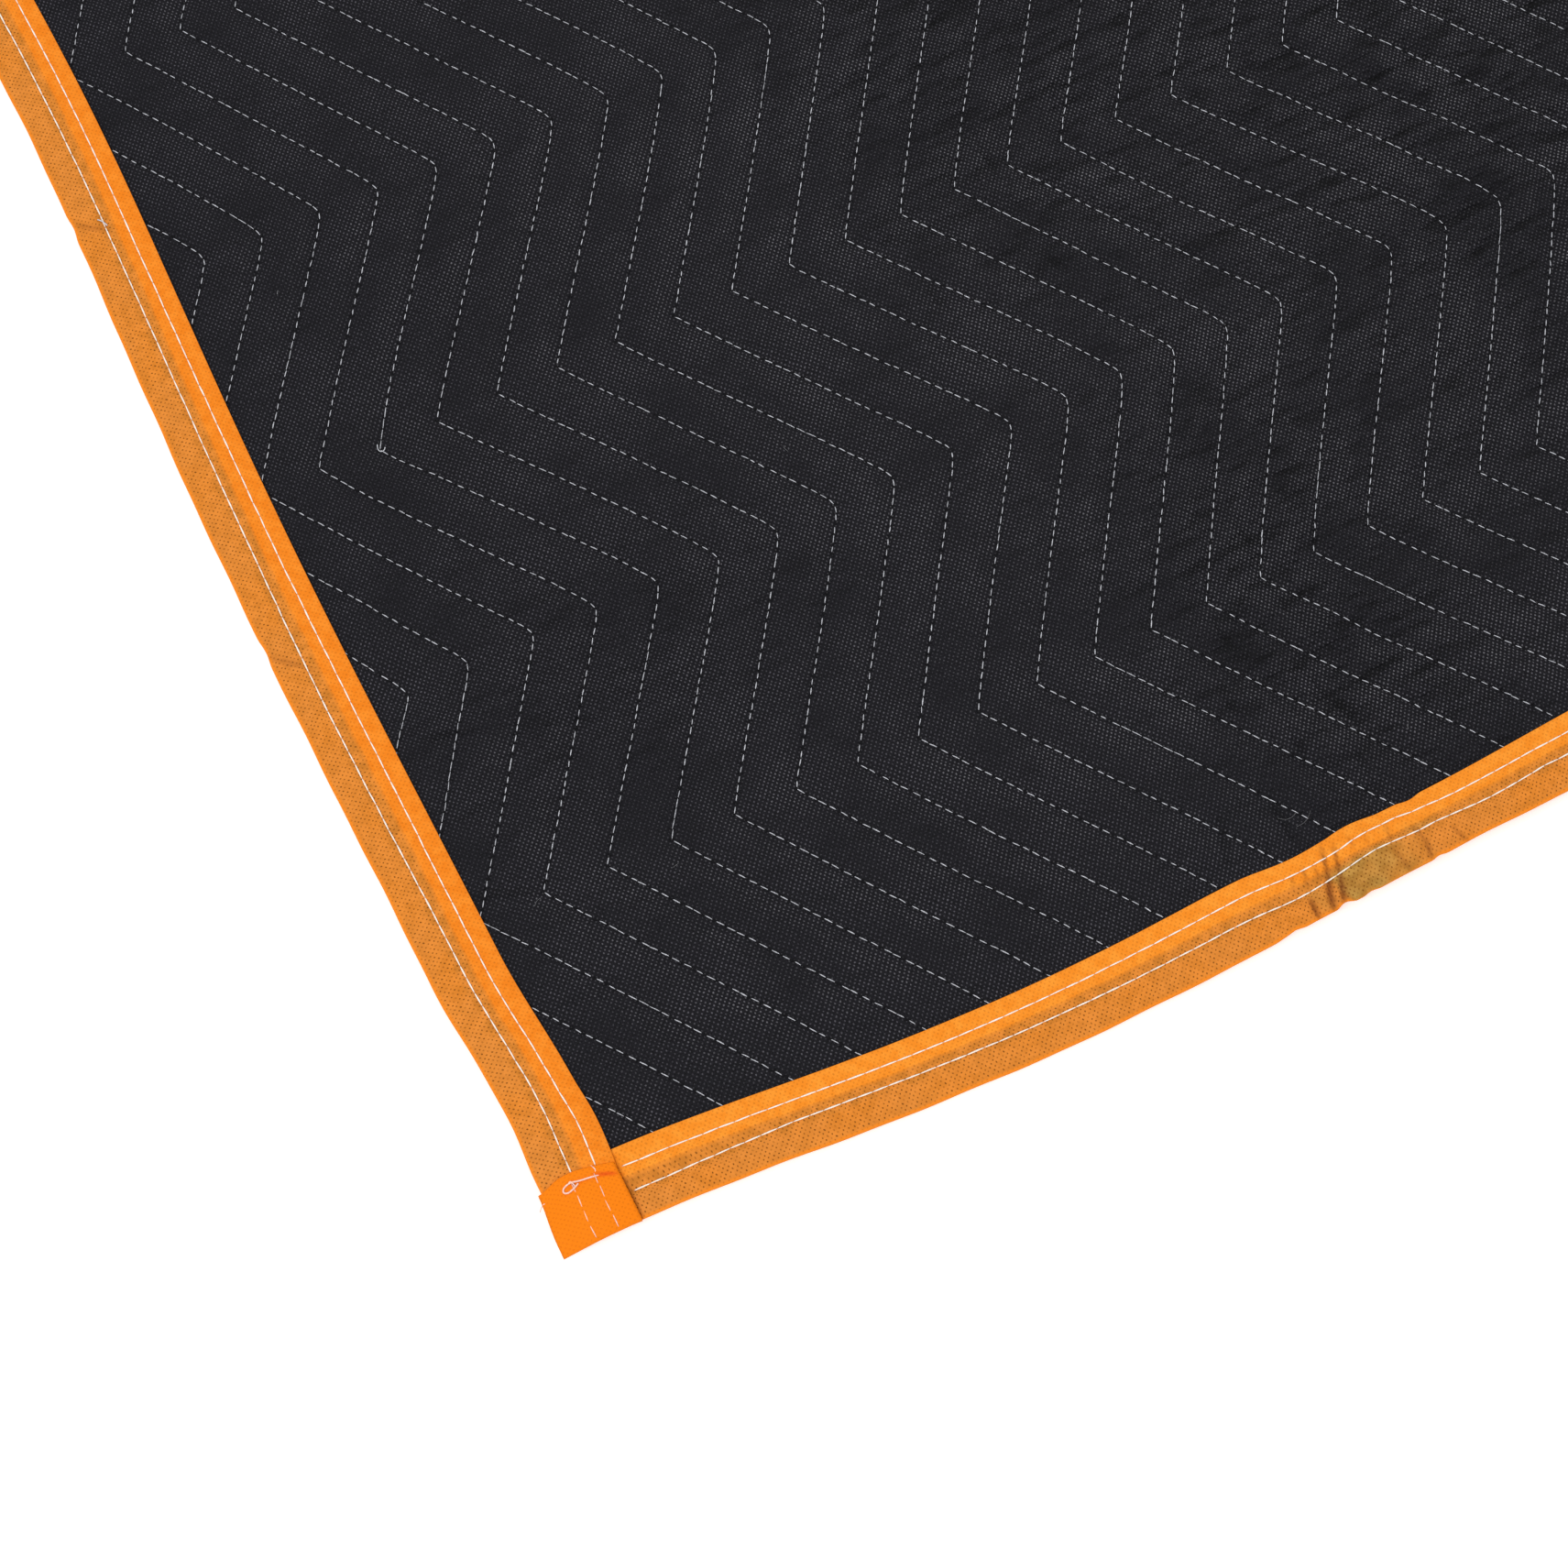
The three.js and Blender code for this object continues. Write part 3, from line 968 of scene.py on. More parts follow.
def tab_surface(edge, at_far_end, inset, run, layer):
    """Where a point of a tab lies, and how much painted shade it has in the fold by its end and in the
    dimple at the tack.
    """
    is_top = layer > 0.7
    # It lies on the tape, waves a little, and its sides roll down
    base = (tape_top(inset) + rise(inset, 6, 16)) * (0.6 + 0.4 * rise(run, 0, 10))
    wave = 0.16 * np.sin(inset / 3.1 + run / 5.3) * hump((run - 12) / 14)
    wave += 0.3 * is_top * hump((run - 23.8) / 2.8) * hump((inset - 17) / 16)
    roll = 0.5 * np.abs(2 * (inset - TAB_SIDE_INSET) / TAB_WIDTH - 1) ** 7
    # The tack and the two seams draw it down
    tack = is_top * hump((run - 21.5) / 1.7) * hump((inset - 20) / 11)
    seams = sum(np.exp(-(((inset - seam) / 0.8) ** 2)) for seam in (INNER_SEAM, OUTER_SEAM))
    low_layer = layer * (base + 0.2) / 1.5 * 0.86
    z = base + np.where(layer > 0, layer, low_layer) - roll + wave - 0.5 * tack - 0.14 * is_top * seams
    # Its folded end runs askew, and its outer side leans in
    drop = 2.0 * hump((inset + 1) / 10) + 3.6 * np.clip((inset - 14) / 18, 0, 1.1)
    along = run - TAB_BEYOND_END - drop * np.clip((run - 5) / (TAB_LENGTH - 5), 0, 1) ** 2
    flat_edge = inset - TAB_LIES_OUT + 1.6 * rise(run, 4, TAB_LENGTH) * (1 - inset / TAB_WIDTH)
    x, y = on_pad(edge, PAD_LENGTH - along if at_far_end else along, flat_edge)
    # Painted shade, red on the tab, along the fold by its end and at the tack
    from_fold = run - 21.2 + 0.3 * (inset - 25.2)
    red_fold_shade = is_top * hump(from_fold / 1.6) * np.sqrt(hump((inset - 25.2) / 4.6))
    return x, y, np.maximum(z, 0.3), np.clip(0.15 * tack + 1.3 * red_fold_shade, 0, 1)


def tab(edge, at_far_end):
    """The end of a side tape folded back over it, as a mesh."""
    steps_across = np.linspace(TAB_SIDE_INSET, TAB_WIDTH + TAB_SIDE_INSET, 25)
    section = tab_section()
    mesh, column, row = grid_mesh("tab", len(steps_across) - 1, len(section) - 1)
    inset = steps_across[column]
    x, y, z, depth = tab_surface(edge, at_far_end, inset, section[row, 0], section[row, 1])
    move_points(mesh, lay_down(x, y, z))
    lengths = np.concatenate([[0], np.cumsum(np.hypot(*np.diff(section, axis=0).T))])
    add_map(mesh, "cloth", lengths[row] * MM, (inset + 60) * MM)
    add_values(mesh, "crease", depth)
    add_values(mesh, "through", np.zeros_like(depth))
    return mesh


def sewn_tape(edge, material):
    """A folded strip, with its two tabs on a side tape, given the thickness of its cloth."""
    parts = [tape_strip(edge)]
    if edge in SIDE_EDGES:
        parts += [tab(edge, at_far_end) for at_far_end in (False, True)]
    whole = bmesh.new()
    for part in parts:
        whole.from_mesh(part)
    mesh = bpy.data.meshes.new(edge + "_tape")
    whole.to_mesh(mesh)
    whole.free()
    for part in parts:
        bpy.data.meshes.remove(part)
    piece = new_piece(edge + "_tape", mesh, material)
    thickness = piece.modifiers.new("cloth", "SOLIDIFY")
    thickness.thickness = TAPE_CLOTH * MM
    thickness.offset = 0
    return piece


# Thread


def stitch_shape(sides, rings):
    """One stitch along X, a unit long and wide, as points and triangles."""
    ball = bmesh.new()
    bmesh.ops.create_uvsphere(ball, u_segments=sides, v_segments=rings + 1, radius=0.5)
    bmesh.ops.triangulate(ball, faces=ball.faces[:])
    points = np.array([(v.co.z, v.co.x, v.co.y) for v in ball.verts])
    triangles = np.array([[v.index for v in face.verts] for face in ball.faces])
    ball.free()
    return points, triangles


def sew(name, shape, starts, ends, widths, thickness, sink, material, upside=1):
    """One mesh of many stitches, each from its start to its end, with its ends drawn in."""
    points, triangles = shape
    run = ends - starts
    length = np.linalg.norm(run, axis=1, keepdims=True)
    ahead = run / length
    up = np.array([0, 0, 1.0 * upside]) - ahead * ahead[:, 2:3] * upside
    up /= np.linalg.norm(up, axis=1, keepdims=True)
    side = np.cross(up, ahead)
    middle = (starts + ends) / 2
    along = points[None, :, 0:1] * length[:, None]
    across = points[None, :, 1:2] * widths[:, None, None]
    height = points[None, :, 2:3] * thickness - sink * (2 * points[None, :, 0:1]) ** 2
    places = middle[:, None] + along * ahead[:, None] + across * side[:, None] + height * up[:, None]
    count = len(points)
    faces = triangles[None] + count * np.arange(len(starts))[:, None, None]
    mesh = bpy.data.meshes.new(name)
    mesh.from_pydata(places.reshape(-1, 3), [], faces.reshape(-1, 3))
    return new_piece(name, mesh, material)


def quilting_rows():
    """Row, number in the row, and flat place of each quilting stitch."""
    step = LEG / STITCHES_PER_LEG
    rows = np.arange(FIRST_ROW, int(PAD_WIDTH / ROW_PITCH) + 1)
    count = int((PAD_LENGTH - FIRST_TURN_Y) / step) + 1
    before = int(FIRST_TURN_Y / step) + 1
    numbers = np.arange(-before, count)
    row, number = [values.ravel() for values in np.meshgrid(rows, numbers, indexing="ij")]
    y = FIRST_TURN_Y + (number + 0.5) * step
    x = FIRST_TURN_X + row * ROW_PITCH + zigzag(y)
    kept = from_edges(x, y) > TAPE_WIDTH - 4.5
    return row[kept], number[kept], x[kept], y[kept]


def pulled_taut(row, number, x, y):
    """Which stitches run on without a gap: the given ones near by, and here and there far off."""
    leg = number // STITCHES_PER_LEG
    chance = np.sin(row * 12.9898 + leg * 78.233) * 43758.5453 % 1
    begin = (chance * 7.31) % 1 * 0.7
    reach = 0.12 + 0.5 * ((chance * 3.77) % 1)
    share_of_leg = (number % STITCHES_PER_LEG) / STITCHES_PER_LEG
    taut = (chance < 0.3) & (share_of_leg > begin) & (share_of_leg < begin + reach)
    taut &= ~is_near(x, y)
    for on, start, stop in TAUT_RUNS:
        taut |= (row == on) & (y > start) & (y < stop)
    return taut


def is_near(x, y):
    """Whether a place on the flat pad is in the part that is seen from near."""
    return (x < NEAR_X) & (y < NEAR_Y)


def quilting_stitches(seed, cloth_height, lifts):
    """Starts, ends, widths and flat places of all the quilting stitches on one face."""
    random = np.random.default_rng(seed)
    row, number, x, y = quilting_rows()
    taut = pulled_taut(row, number, x, y)
    step = LEG / STITCHES_PER_LEG
    share = np.where(taut, TAUT_SHARE, STITCH_SHARE) * (1 + 0.09 * random.standard_normal(len(y)))
    half = np.clip(share, LEAST_SHARE, MOST_SHARE) * step / 2
    drift = 0.1 * step * random.standard_normal(len(y)) * ~taut
    lifted = np.where(is_near(x, y), *lifts)

    def place(at, slip):
        """Where the needle went in at y, aside by its slip."""
        on_row = FIRST_TURN_X + row * ROW_PITCH + zigzag(at)
        height = cloth_height(on_row, at) + lifted
        moved_x, moved_y = wander(on_row + slip, at)
        return lay_down(moved_x, moved_y, height)

    slip = 0.13 * random.standard_normal((2, len(y)))
    starts = place(y - half + drift, slip[0])
    ends = place(y + half + drift, slip[1])
    widths = THREAD_WIDTH * MM * (1 + 0.1 * random.standard_normal(len(y))) * np.where(taut, 0.85, 1)
    return starts, ends, widths, x, y


def quilting(material):
    """The quilting thread of both faces, finer where it is seen from near."""
    starts, ends, widths, x, y = quilting_stitches(11, cloth_top, UPPER_LIFT)
    near = is_near(x, y)
    in_half = {"left": x < PAD_WIDTH / 2, "right": x >= PAD_WIDTH / 2}
    fine, plain = stitch_shape(4, 3), stitch_shape(3, 1)
    thick, sink = THREAD_THICKNESS * MM, THREAD_SINK * MM
    close = (starts[near], ends[near], widths[near])
    pieces = [sew("quilting_near", fine, *close, thick, sink, material)]
    for half, in_it in in_half.items():
        far = in_it & ~near
        name = "quilting_far_" + half
        pieces.append(sew(name, plain, starts[far], ends[far], widths[far], thick, sink, material))
    starts, ends, widths, x, y = quilting_stitches(12, cloth_bottom, LOWER_LIFT)
    thin = UNDER_THREAD_THICKNESS * MM
    for half, in_it in in_half.items():
        name = "quilting_under_" + half
        narrow = widths[in_it] * 0.8
        pieces.append(sew(name, plain, starts[in_it], ends[in_it], narrow, thin, 0, material, -1))
    return pieces


def tape_seam(edge, seam, random):
    """One seam's stitches as starts, ends and widths, on the tape and under it, and which are near."""
    length = edge_length(edge)
    ends_at = TAB_LENGTH - 2.5 if edge in SIDE_EDGES else TAPE_WIDTH + 2.6
    count = int((length - 2 * ends_at) / TAPE_STITCH)
    lines = np.linspace(ends_at, length - ends_at, count + 1)
    lines[1:-1] += 0.35 * random.standard_normal(count - 1)
    sway = 0.25 * np.sin(lines / 47 + seam) + 0.06 * random.standard_normal(count + 1)
    inset = seam + sway
    x, y, z, _ = tape_surface(edge, lines, inset, tape_top(inset))
    top = lay_down(x, y, z + TAPE_CLOTH / 2 + TAPE_THREAD_LIFT)
    widths = TAPE_THREAD_WIDTH * MM * (1 + 0.07 * random.standard_normal(count))
    reach = (top[1:] - top[:-1]) * 0.06
    low = lay_down(*on_pad(edge, lines, inset), np.full_like(lines, TAPE_THREAD_UNDER))
    upper = (top[:-1] - reach, top[1:] + reach, widths)
    lower = (low[:-1], low[1:], widths * 0.7)
    return upper, lower, (lines[:-1] < NEAR_Y) & (edge in ("front", "left"))


def tape_seams(material):
    """The two rows of stitches on each tape, on its upper and its lower side."""
    random = np.random.default_rng(21)
    seams = {"near": [], "far": [], "under": []}
    for edge in ("front", "left", "back", "right"):
        for seam in (INNER_SEAM, OUTER_SEAM):
            upper, lower, near = tape_seam(edge, seam, random)
            seams["near"].append([values[near] for values in upper])
            seams["far"].append([values[~near] for values in upper])
            seams["under"].append(lower)
    joined = {}
    for where, some in seams.items():
        joined[where] = [np.concatenate(values) for values in zip(*some)]
    thick, sink = TAPE_THREAD_THICKNESS * MM, TAPE_THREAD_SINK * MM
    thin = UNDER_THREAD_THICKNESS * MM
    return [
        sew("tape_seams_near", stitch_shape(5, 3), *joined["near"], thick, sink, material),
        sew("tape_seams_far", stitch_shape(4, 2), *joined["far"], thick, sink, material),
        sew("tape_seams_under", stitch_shape(3, 1), *joined["under"], thin, 0, material, -1),
    ]


def tab_seams(material):
    """The two rows that run on over each tab as thin, short stitches."""
    random = np.random.default_rng(31)

    def on_tab(edge, at_far_end, seam, run):
        """Places on a seam of a tab, a little uneven."""
        inset = seam + 0.2 * random.standard_normal(len(run))
        x, y, z, _ = tab_surface(edge, at_far_end, inset, run, np.full_like(run, TAB_LAYER))
        return lay_down(x, y, z + TAB_THREAD_LIFT)

    starts, ends = [], []
    for edge in SIDE_EDGES:
        for at_far_end in (False, True):
            for seam in (INNER_SEAM, OUTER_SEAM):
                begin = np.arange(0.5, TAB_LENGTH - 7, TAB_STITCH_PITCH)
                finish = begin + TAB_STITCH + 0.2 * random.standard_normal(len(begin))
                starts.append(on_tab(edge, at_far_end, seam, begin))
                ends.append(on_tab(edge, at_far_end, seam, finish))
    starts, ends = np.concatenate(starts), np.concatenate(ends)
    widths = TAB_THREAD_WIDTH * MM * (1 + 0.1 * random.standard_normal(len(starts)))
    thick, sink = TAB_THREAD_THICKNESS * MM, TAB_THREAD_SINK * MM
    return [sew("tab_seams", stitch_shape(5, 3), starts, ends, widths, thick, sink, material)]


def strand(name, places, width, material):
    """A loose piece of thread along a smooth line through its places."""
    line = bpy.data.curves.new(name, "CURVE")
    line.dimensions = "3D"
    spline = line.splines.new("NURBS")
    spline.points.add(len(places) - 1)
    for point, place in zip(spline.points, places):
        point.co = (*place, 1)
    spline.use_endpoint_u = True
    spline.order_u = 3
    spline.resolution_u = 5
    line.bevel_depth = width / 2 * MM
    line.bevel_resolution = 1
    line.use_fill_caps = True
    holder = bpy.data.objects.new(name, line)
    bpy.context.scene.collection.objects.link(holder)
    shown = holder.evaluated_get(bpy.context.evaluated_depsgraph_get())
    mesh = bpy.data.meshes.new_from_object(shown)
    bpy.data.objects.remove(holder)
    bpy.data.curves.remove(line)
    mesh.materials.clear()
    return new_piece(name, mesh, material)


def corner_tack(material):
    """The knotted thread that tacks the tab of the left front corner, with its loose ends."""
    pieces = []
    for name, width, stops in TACK_THREADS:
        inset, run, height = np.array(stops, float).T
        x, y, z, _ = tab_surface("left", False, inset, run, np.full_like(run, TAB_LAYER))
        pieces.append(strand(name, lay_down(x, y, z + 0.25 + height), width, material))
    return pieces


def loose_threads(material):
    """A turn of the quilting thread and an end of the tape's, both standing off a little."""
    pieces = []
    for name, width, stops in LOOSE_THREADS:
        x, y, height = np.array(stops, float).T
        under = tape_top(x) + TAPE_CLOTH / 2 if x.max() < TAPE_WIDTH else cloth_top(x, y)
        pieces.append(strand(name, lay_down(*wander(x, y), under + height), width, material))
    return pieces


def loose_fibres(material):
    """Lint that lies on the upper cloth."""
    pieces = []
    for number, (x, y, heading, length, bow, width) in enumerate(LINT):
        turn = math.radians(heading)
        share = np.linspace(-0.5, 0.5, 6)
        along = share * length
        across = bow * (1 - 4 * share**2)
        at_x = x + along * math.cos(turn) - across * math.sin(turn)
        at_y = y + along * math.sin(turn) + across * math.cos(turn)
        height = cloth_top(at_x, at_y) + 0.18
        places = lay_down(*wander(at_x, at_y), height)
        pieces.append(strand("lint_%d" % (number + 1), places, width, material))
    return pieces


# Scene


def look_from(place, aim, roll, lens):
    """The camera at a place, aimed, and turned about its view."""
    camera = bpy.data.cameras.new("camera")
    camera.lens = lens
    camera.sensor_width = 36
    holder = bpy.data.objects.new("camera", camera)
    bpy.context.scene.collection.objects.link(holder)
    heading = (Vector(aim) - Vector(place)).to_track_quat("-Z", "Y")
    holder.rotation_mode = "QUATERNION"
    holder.rotation_quaternion = heading @ Quaternion((0, 0, 1), math.radians(roll))
    holder.location = place
    bpy.context.scene.camera = holder


def soft_light(name, place, aim, size, power):
    lamp = bpy.data.lights.new(name, "AREA")
    lamp.shape = "DISK"
    lamp.size = size
    lamp.energy = power
    holder = bpy.data.objects.new(name, lamp)
    bpy.context.scene.collection.objects.link(holder)
    holder.location = place
    holder.rotation_mode = "QUATERNION"
    holder.rotation_quaternion = (Vector(aim) - Vector(place)).to_track_quat("-Z", "Y")


def studio():
    world = bpy.data.worlds.new("studio")
    world.use_nodes = True
    world.node_tree.nodes["Background"].inputs["Color"].default_value = (1, 1, 1, 1)
    world.node_tree.nodes["Background"].inputs["Strength"].default_value = WORLD_STRENGTH
    bpy.context.scene.world = world
    bpy.context.scene.view_settings.view_transform = "Standard"
    for lamp in LAMPS:
        soft_light(*lamp)


def floor(material):
    plane = bmesh.new()
    bmesh.ops.create_grid(plane, x_segments=1, y_segments=1, size=FLOOR_HALF)
    mesh = bpy.data.meshes.new("floor")
    plane.to_mesh(mesh)
    plane.free()
    piece = bpy.data.objects.new("floor", mesh)
    bpy.context.scene.collection.objects.link(piece)
    mesh.materials.append(material)


# Materials


def link_or_set(tree, socket, value):
    """Links a socket's input, or sets it where the value is plain."""
    if isinstance(value, bpy.types.NodeSocket):
        tree.links.new(value, socket)
    else:
        socket.default_value = value


def calculate(tree, operation, *values, clamp=False):
    """A Math node's result."""
    node = tree.nodes.new("ShaderNodeMath")
    node.operation = operation
    node.use_clamp = clamp
    for socket, value in zip(node.inputs, values):
        link_or_set(tree, socket, value)
    return node.outputs[0]


def summed(tree, *terms):
    """The sum of values, each times its share."""
    total = 0.0
    for value, share in terms:
        total = calculate(tree, "MULTIPLY_ADD", value, share, total)
    return total


def between(tree, value, low, high):
    """0 at low and 1 at high, smooth between them."""
    node = tree.nodes.new("ShaderNodeMapRange")
    node.interpolation_type = "SMOOTHSTEP"
    link_or_set(tree, node.inputs["Value"], value)
    link_or_set(tree, node.inputs["From Min"], low)
    link_or_set(tree, node.inputs["From Max"], high)
    return node.outputs["Result"]


def blend(tree, factor, first, second):
    """Two colours mixed."""
    node = tree.nodes.new("ShaderNodeMix")
    node.data_type = "RGBA"
    link_or_set(tree, node.inputs[0], factor)
    link_or_set(tree, node.inputs[6], first)
    link_or_set(tree, node.inputs[7], second)
    return node.outputs[2]


def noise(tree, place, scale, detail=2.0, roughness=0.5):
    node = tree.nodes.new("ShaderNodeTexNoise")
    link_or_set(tree, node.inputs["Vector"], place)
    link_or_set(tree, node.inputs["Scale"], scale)
    node.inputs["Detail"].default_value = detail
    node.inputs["Roughness"].default_value = roughness
    return node.outputs[0]


def axes_of(tree, vector):
    """The x, y and z of a vector."""
    node = tree.nodes.new("ShaderNodeSeparateXYZ")
    tree.links.new(vector, node.inputs[0])
    return node.outputs


def stretch(tree, vector, scale):
    node = tree.nodes.new("ShaderNodeMapping")
    tree.links.new(vector, node.inputs["Vector"])
    node.inputs["Scale"].default_value = scale
    return node.outputs["Vector"]


def uv(tree, name):
    node = tree.nodes.new("ShaderNodeUVMap")
    node.uv_map = name
    return node.outputs["UV"]


def attribute(tree, name):
    node = tree.nodes.new("ShaderNodeAttribute")
    node.attribute_name = name
    return node.outputs["Fac"]


def new_group(name, inputs, outputs):
    """An empty node group and the sockets of its inputs and outputs, by name."""
    group = bpy.data.node_groups.new(name, "ShaderNodeTree")
    for socket, kind in inputs.items():
        group.interface.new_socket(socket, in_out="INPUT", socket_type="NodeSocket" + kind)
    for socket in outputs:
        group.interface.new_socket(socket, in_out="OUTPUT", socket_type="NodeSocketFloat")
    given = group.nodes.new("NodeGroupInput").outputs
    asked = group.nodes.new("NodeGroupOutput").inputs
    return group, given, asked


def use_group(tree, group, **values):
    node = tree.nodes.new("ShaderNodeGroup")
    node.node_tree = group
    for name, value in values.items():
        link_or_set(tree, node.inputs[name], value)
    return node.outputs


def weld_dots_group():
    """The small welds that hold the fibres of non-woven cloth together, in a staggered lattice."""
    inputs = {"Place": "Vector", "Across": "Float", "Along": "Float", "Size": "Float"}
    group, given, asked = new_group("weld_dots", inputs, ["Dots", "Single"])
    warp = noise(group, given["Place"], 420.0, 1.0)
    nudge = calculate(group, "MULTIPLY", calculate(group, "SUBTRACT", warp, 0.5), 0.0009)
    place = axes_of(group, given["Place"])
    waves = []
    for axis, spacing in ((0, "Across"), (1, "Along")):
        at = calculate(group, "ADD", place[axis], nudge)
        turns = calculate(group, "DIVIDE", at, given[spacing])
        waves.append(calculate(group, "COSINE", calculate(group, "MULTIPLY", turns, 2 * math.pi)))
    lattice = calculate(group, "MULTIPLY", *waves)
    edge = calculate(group, "SUBTRACT", 1.0, given["Size"])
    dots = between(group, lattice, edge, calculate(group, "ADD", edge, 0.4))
    group.links.new(dots, asked["Dots"])
    group.links.new(noise(group, given["Place"], 620.0, 0.0), asked["Single"])
    return group


def fibres_group():
    """Matted fibres: a fine uneven grain."""
    group, given, asked = new_group("matted_fibres", {"Place": "Vector"}, ["Grain", "Clouds"])
    leaning = stretch(group, given["Place"], (1.0, 0.35, 1.0))
    crossing = stretch(group, given["Place"], (0.4, 1.0, 1.0))
    fine = [noise(group, leaning, 2600.0, 2.0), noise(group, crossing, 2300.0, 2.0)]
    grain = calculate(group, "ADD", *fine)
    group.links.new(calculate(group, "MULTIPLY", grain, 0.5), asked["Grain"])
    group.links.new(noise(group, given["Place"], 95.0, 3.0, 0.6), asked["Clouds"])
    return group


def seam_pull_group():
    """What a row of stitches does to cloth: a groove, holes between the stitches and small puckers, for
    bump and for painted shade.
    """
    inputs = {"Off Seam": "Float", "Stitches": "Float", "Width": "Float"}
    group, given, asked = new_group("seam_pull", inputs, ["Groove", "Holes", "Puckers"])
    off = calculate(group, "DIVIDE", given["Off Seam"], given["Width"])
    square = calculate(group, "MULTIPLY", off, off)
    groove = calculate(group, "EXPONENT", calculate(group, "MULTIPLY", square, -1.0))
    wide = calculate(group, "EXPONENT", calculate(group, "MULTIPLY", square, -0.06))
    turns = calculate(group, "MULTIPLY", given["Stitches"], 2 * math.pi)
    beat = calculate(group, "MULTIPLY_ADD", calculate(group, "COSINE", turns), 0.5, 0.5)
    holes = calculate(group, "MULTIPLY", groove, calculate(group, "POWER", beat, 2.0))
    gathers = calculate(group, "MULTIPLY", wide, calculate(group, "SUBTRACT", 1.0, beat))
    group.links.new(groove, asked["Groove"])
    group.links.new(holes, asked["Holes"])
    group.links.new(gathers, asked["Puckers"])
    return group


def new_material(name):
    """A material with its node tree and its Principled shader."""
    material = bpy.data.materials.new(name)
    material.use_nodes = True
    return material, material.node_tree, material.node_tree.nodes["Principled BSDF"]


def bump(tree, shader, height, distance):
    node = tree.nodes.new("ShaderNodeBump")
    node.inputs["Distance"].default_value = distance
    tree.links.new(height, node.inputs["Height"])
    tree.links.new(node.outputs["Normal"], shader.inputs["Normal"])


def crease_heights(tree, cloth):
    """The sharp creases of the upper cloth, 1 on a ridge and -1 in a trough."""
    height = None
    for x, y, heading, half_length, half_width, top in SHARP_CREASES:
        node = tree.nodes.new("ShaderNodeMapping")
        node.vector_type = "TEXTURE"
        tree.links.new(cloth, node.inputs["Vector"])
        node.inputs["Location"].default_value = (x * MM, y * MM, 0)
        node.inputs["Rotation"].default_value = (0, 0, math.radians(heading))
        node.inputs["Scale"].default_value = (half_length * MM, half_width * MM, 1)
        square = tree.nodes.new("ShaderNodeVectorMath")
        square.operation = "DOT_PRODUCT"
        tree.links.new(node.outputs["Vector"], square.inputs[0])
        tree.links.new(node.outputs["Vector"], square.inputs[1])
        left = calculate(tree, "SUBTRACT", 1.0, square.outputs["Value"], clamp=True)
        one = calculate(tree, "MULTIPLY", left, left)
        height = calculate(tree, "MULTIPLY_ADD", one, top, 0.0 if height is None else height)
    return height


def welds_with_painted_sheen(tree, dots, seam, cloth):
    """How much painted sheen each weld of the black cloth has, in soft patches, and fainter by painted
    shade where the rows draw it in.
    """
    # Painted sheen: the welds are lighter in soft patches
    patches = between(tree, noise(tree, cloth, 24.0, 4.0, 0.68), 0.3, 0.7)
    single = between(tree, dots["Single"], 0.25, 0.75)
    strength = calculate(tree, "MULTIPLY_ADD", patches, 0.8, 0.25)
    strength = calculate(tree, "MULTIPLY", strength, calculate(tree, "MULTIPLY_ADD", single, 0.7, 0.5))
    # Painted shade: the welds are dimmer in the grooves and puckers by the rows
    groove_shade = calculate(tree, "MULTIPLY_ADD", seam["Groove"], -0.45, 1.0)
    groove_shade = calculate(tree, "MULTIPLY_ADD", seam["Puckers"], -0.3, groove_shade)
    strength = calculate(tree, "MULTIPLY", strength, groove_shade)
    return calculate(tree, "MULTIPLY", dots["Dots"], strength, clamp=True)


